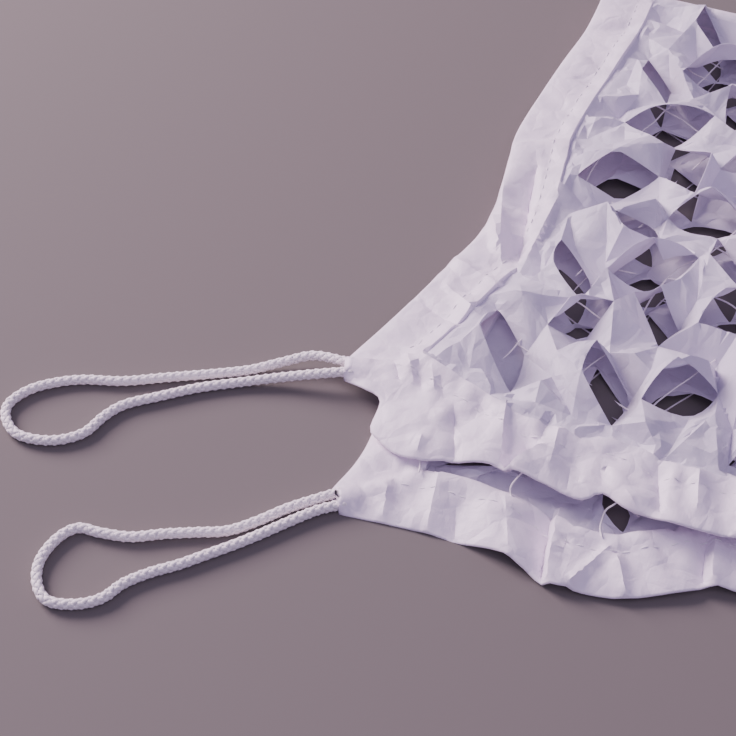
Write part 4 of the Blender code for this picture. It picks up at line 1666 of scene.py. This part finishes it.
@dataclass
class SupportNet:
    """Thin white strings that the cloth was tied to, slack, just under each layer."""

    layer: Layer
    radius: float = 0.55
    pitch: float = 50.0
    turn: float = math.radians(73.0)
    step: float = 4.0
    slack: float = 6.0
    drop: float = 8.0
    sides: int = 6
    centre: tuple[float, float] = (300.0, 290.0)
    reach: float = 420.0

    def build(self, cloth: Cloth) -> bpy.types.Object:
        """Runs two families of strings across the field, at the cloth's own height.

        Each string is a straight line with slow sideways waves. Its height is the mean
        height of the cloth near it, less a little, and never into the floor. The lower
        layer's piece also has the strings that hang from under the upper hem.

        Args:
            cloth: the finished cloth.

        Returns:
            The layer's strings as one piece.
        """
        upper = self.layer is Layer.UPPER
        heights = HeightMap(cloth.points[(cloth.layer_of == upper) & (cloth.gap > 42.0)
                                         & (cloth.points[:, 1] < FOLD_Y - 8)])
        run = np.arange(-self.reach, self.reach, self.step)
        parts = []
        for family in range(2):
            angle = self.turn + family * math.pi / 2
            along = np.array([math.cos(angle), math.sin(angle)])
            aside = np.array([-along[1], along[0]])
            for number in range(-9, 10):
                wave = self.slack * ripple(run / 160.0, 1.7 * number + 3.0 * family)
                plan = (np.array(self.centre) + run[:, None] * along
                        + (number * self.pitch + wave)[:, None] * aside)
                height, known = heights.look(plan)
                height = height - self.drop + 1.2 * ripple(run / 37.0, 0.9 * number)
                for stretch in np.split(np.arange(len(run)), np.flatnonzero(np.diff(known)) + 1):
                    if known[stretch[0]] and len(stretch) > 6:
                        line = np.column_stack([plan[stretch], np.maximum(height[stretch], 0.8)])
                        parts.append(tube(line, self.radius, self.sides))
        if not upper:
            parts += [tube(smooth_line(rows, 1.5), self.radius, self.sides)
                      for rows in HANGING_STRINGS]
        made = add_mesh("support_net_" + self.layer.value, *join(parts))
        STRING.dress(made)
        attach(made, "root")
        return made


@dataclass
class RopeLoop:
    """A loop of eight-strand braided rope out of a hem's mouth.

    Four strands wind one way and four the other; each swings in and out once for every
    two crossings, so that they pass over and under in turn.
    """

    name: str
    mouth: Mouth
    route: list[tuple[float, float, float]]
    first_hand: float
    diameter: float = 6.0
    strands: int = 4
    pitch: float = 21.0
    winding: float = 2.1
    swing: float = 0.5
    half_width: float = 1.36
    half_thick: float = 0.72
    step: float = 1.3
    sides: int = 8
    depth: float = 6.0
    seat: float = 0.3
    floor_gap: float = 0.35

    def line(self) -> Points:
        """The centreline, from inside the mouth, round the loop and back into it."""
        inner = [self.mouth.leg(self.first_hand, d) for d in (self.depth, self.seat)]
        outer = [self.mouth.leg(-self.first_hand, d) for d in (self.seat, self.depth)]
        line = smooth_line(inner + list(self.route) + outer, self.step)
        line[:, 2] = np.maximum(line[:, 2], self.diameter / 2 + self.floor_gap)
        return line

    def strand(self, line: Points, number: int, way: float) -> tuple[Points, Points]:
        """One flat strand as a closed tube wound round the centreline.

        The winding's angle grows evenly with the distance travelled, and its radius swings
        by a cosine four times to a turn. Each ring is an ellipse, flat against the rope.

        Args:
            line: the rope's centreline.
            number: which strand of its four.
            way: 1 to wind one way and -1 to wind the other.

        Returns:
            Points and four-cornered faces.
        """
        along, side, above = line_frames(line)
        travel = np.concatenate([[0], np.cumsum(np.linalg.norm(np.diff(line, axis=0), axis=1))])
        turn = way * 2 * math.pi * travel / self.pitch + 2 * math.pi * number / self.strands
        reach = self.winding + way * self.swing * np.cos(8 * math.pi * travel / self.pitch)
        out = np.cos(turn)[:, None] * side + np.sin(turn)[:, None] * above
        path = line + reach[:, None] * out
        run = np.gradient(path, axis=0)
        run /= np.linalg.norm(run, axis=1)[:, None]
        across = np.cross(run, out)
        corner = 2 * math.pi * np.arange(self.sides) / self.sides
        size = np.ones(len(line))
        size[[0, -1]] = 0.15
        ring = (self.half_width * np.cos(corner)[None, :, None] * across[:, None]
                + self.half_thick * np.sin(corner)[None, :, None] * out[:, None])
        points = path[:, None] + size[:, None, None] * ring
        return points.reshape(-1, 3), grid_faces(len(line), self.sides)

    def build(self) -> bpy.types.Object:
        line = self.line()
        parts = [self.strand(line, number, way) for number in range(self.strands)
                 for way in (-1.0, 1.0)]
        made = add_mesh(self.name + "_rope", *join(parts))
        ROPE.dress(made)
        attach(made, "root")
        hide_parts(self.name)
        exit_place = to_frame(self.mouth.leg(self.first_hand, self.seat))
        return made


def carried_route(route: list, source: Mouth, target: Mouth) -> list[tuple[float, float, float]]:
    """A left-hand loop's route, mirrored and turned to leave a right-hand mouth.

    Args:
        route: the loop's points.
        source: the mouth that they leave.
        target: the mouth that they have to leave.

    Returns:
        The points carried over; near the mouth they start at its height.
    """
    fall = target.underside - source.underside
    carried = []
    for x, y, z in route:
        offset = np.array([x - source.x, y - source.y])
        out, side = offset @ source.facing, offset @ source.sideways
        place = np.array([target.x, target.y]) + out * target.facing - side * target.sideways
        near = max(0.0, 1.0 - out / 45.0)
        carried.append((place[0], place[1], max(z, z + fall * near)))
    return carried


def rope_loops() -> list[RopeLoop]:
    """The loops at the four corners; the right-hand ones are the left-hand ones crossed over."""
    lower_left, upper_left = MOUTHS["lower_left"], MOUTHS["upper_left"]
    lower_right, upper_right = MOUTHS["lower_right"], MOUTHS["upper_right"]
    return [
        RopeLoop("rope_loop_upper_left", upper_left, UPPER_LEFT_ROUTE, -1.0),
        RopeLoop("rope_loop_lower_left", lower_left, LOWER_LEFT_ROUTE, -1.0),
        RopeLoop("rope_loop_upper_right", upper_right,
                 carried_route(LOWER_LEFT_ROUTE, lower_left, upper_right), 1.0),
        RopeLoop("rope_loop_lower_right", lower_right,
                 carried_route(UPPER_LEFT_ROUTE, upper_left, lower_right), 1.0),
    ]


def main() -> None:
    """Builds the camera, the ropes, the cloth and its sewing, in order."""
    logging.basicConfig(level=logging.INFO, format="%(name)s %(message)s")
    studio = Studio()
    studio.add_camera()
    studio.build()
    for loop in rope_loops():
        LOG.info("made %s", loop.build().name)
    cloth = Cloth()
    LOG.info("made %s", cloth.build().name)
    LOG.info("made %s", Stitching().build(cloth).name)
    for layer in Layer:
        LOG.info("made %s", SupportNet(layer).build(cloth).name)


if __name__ == "__main__":
    main()
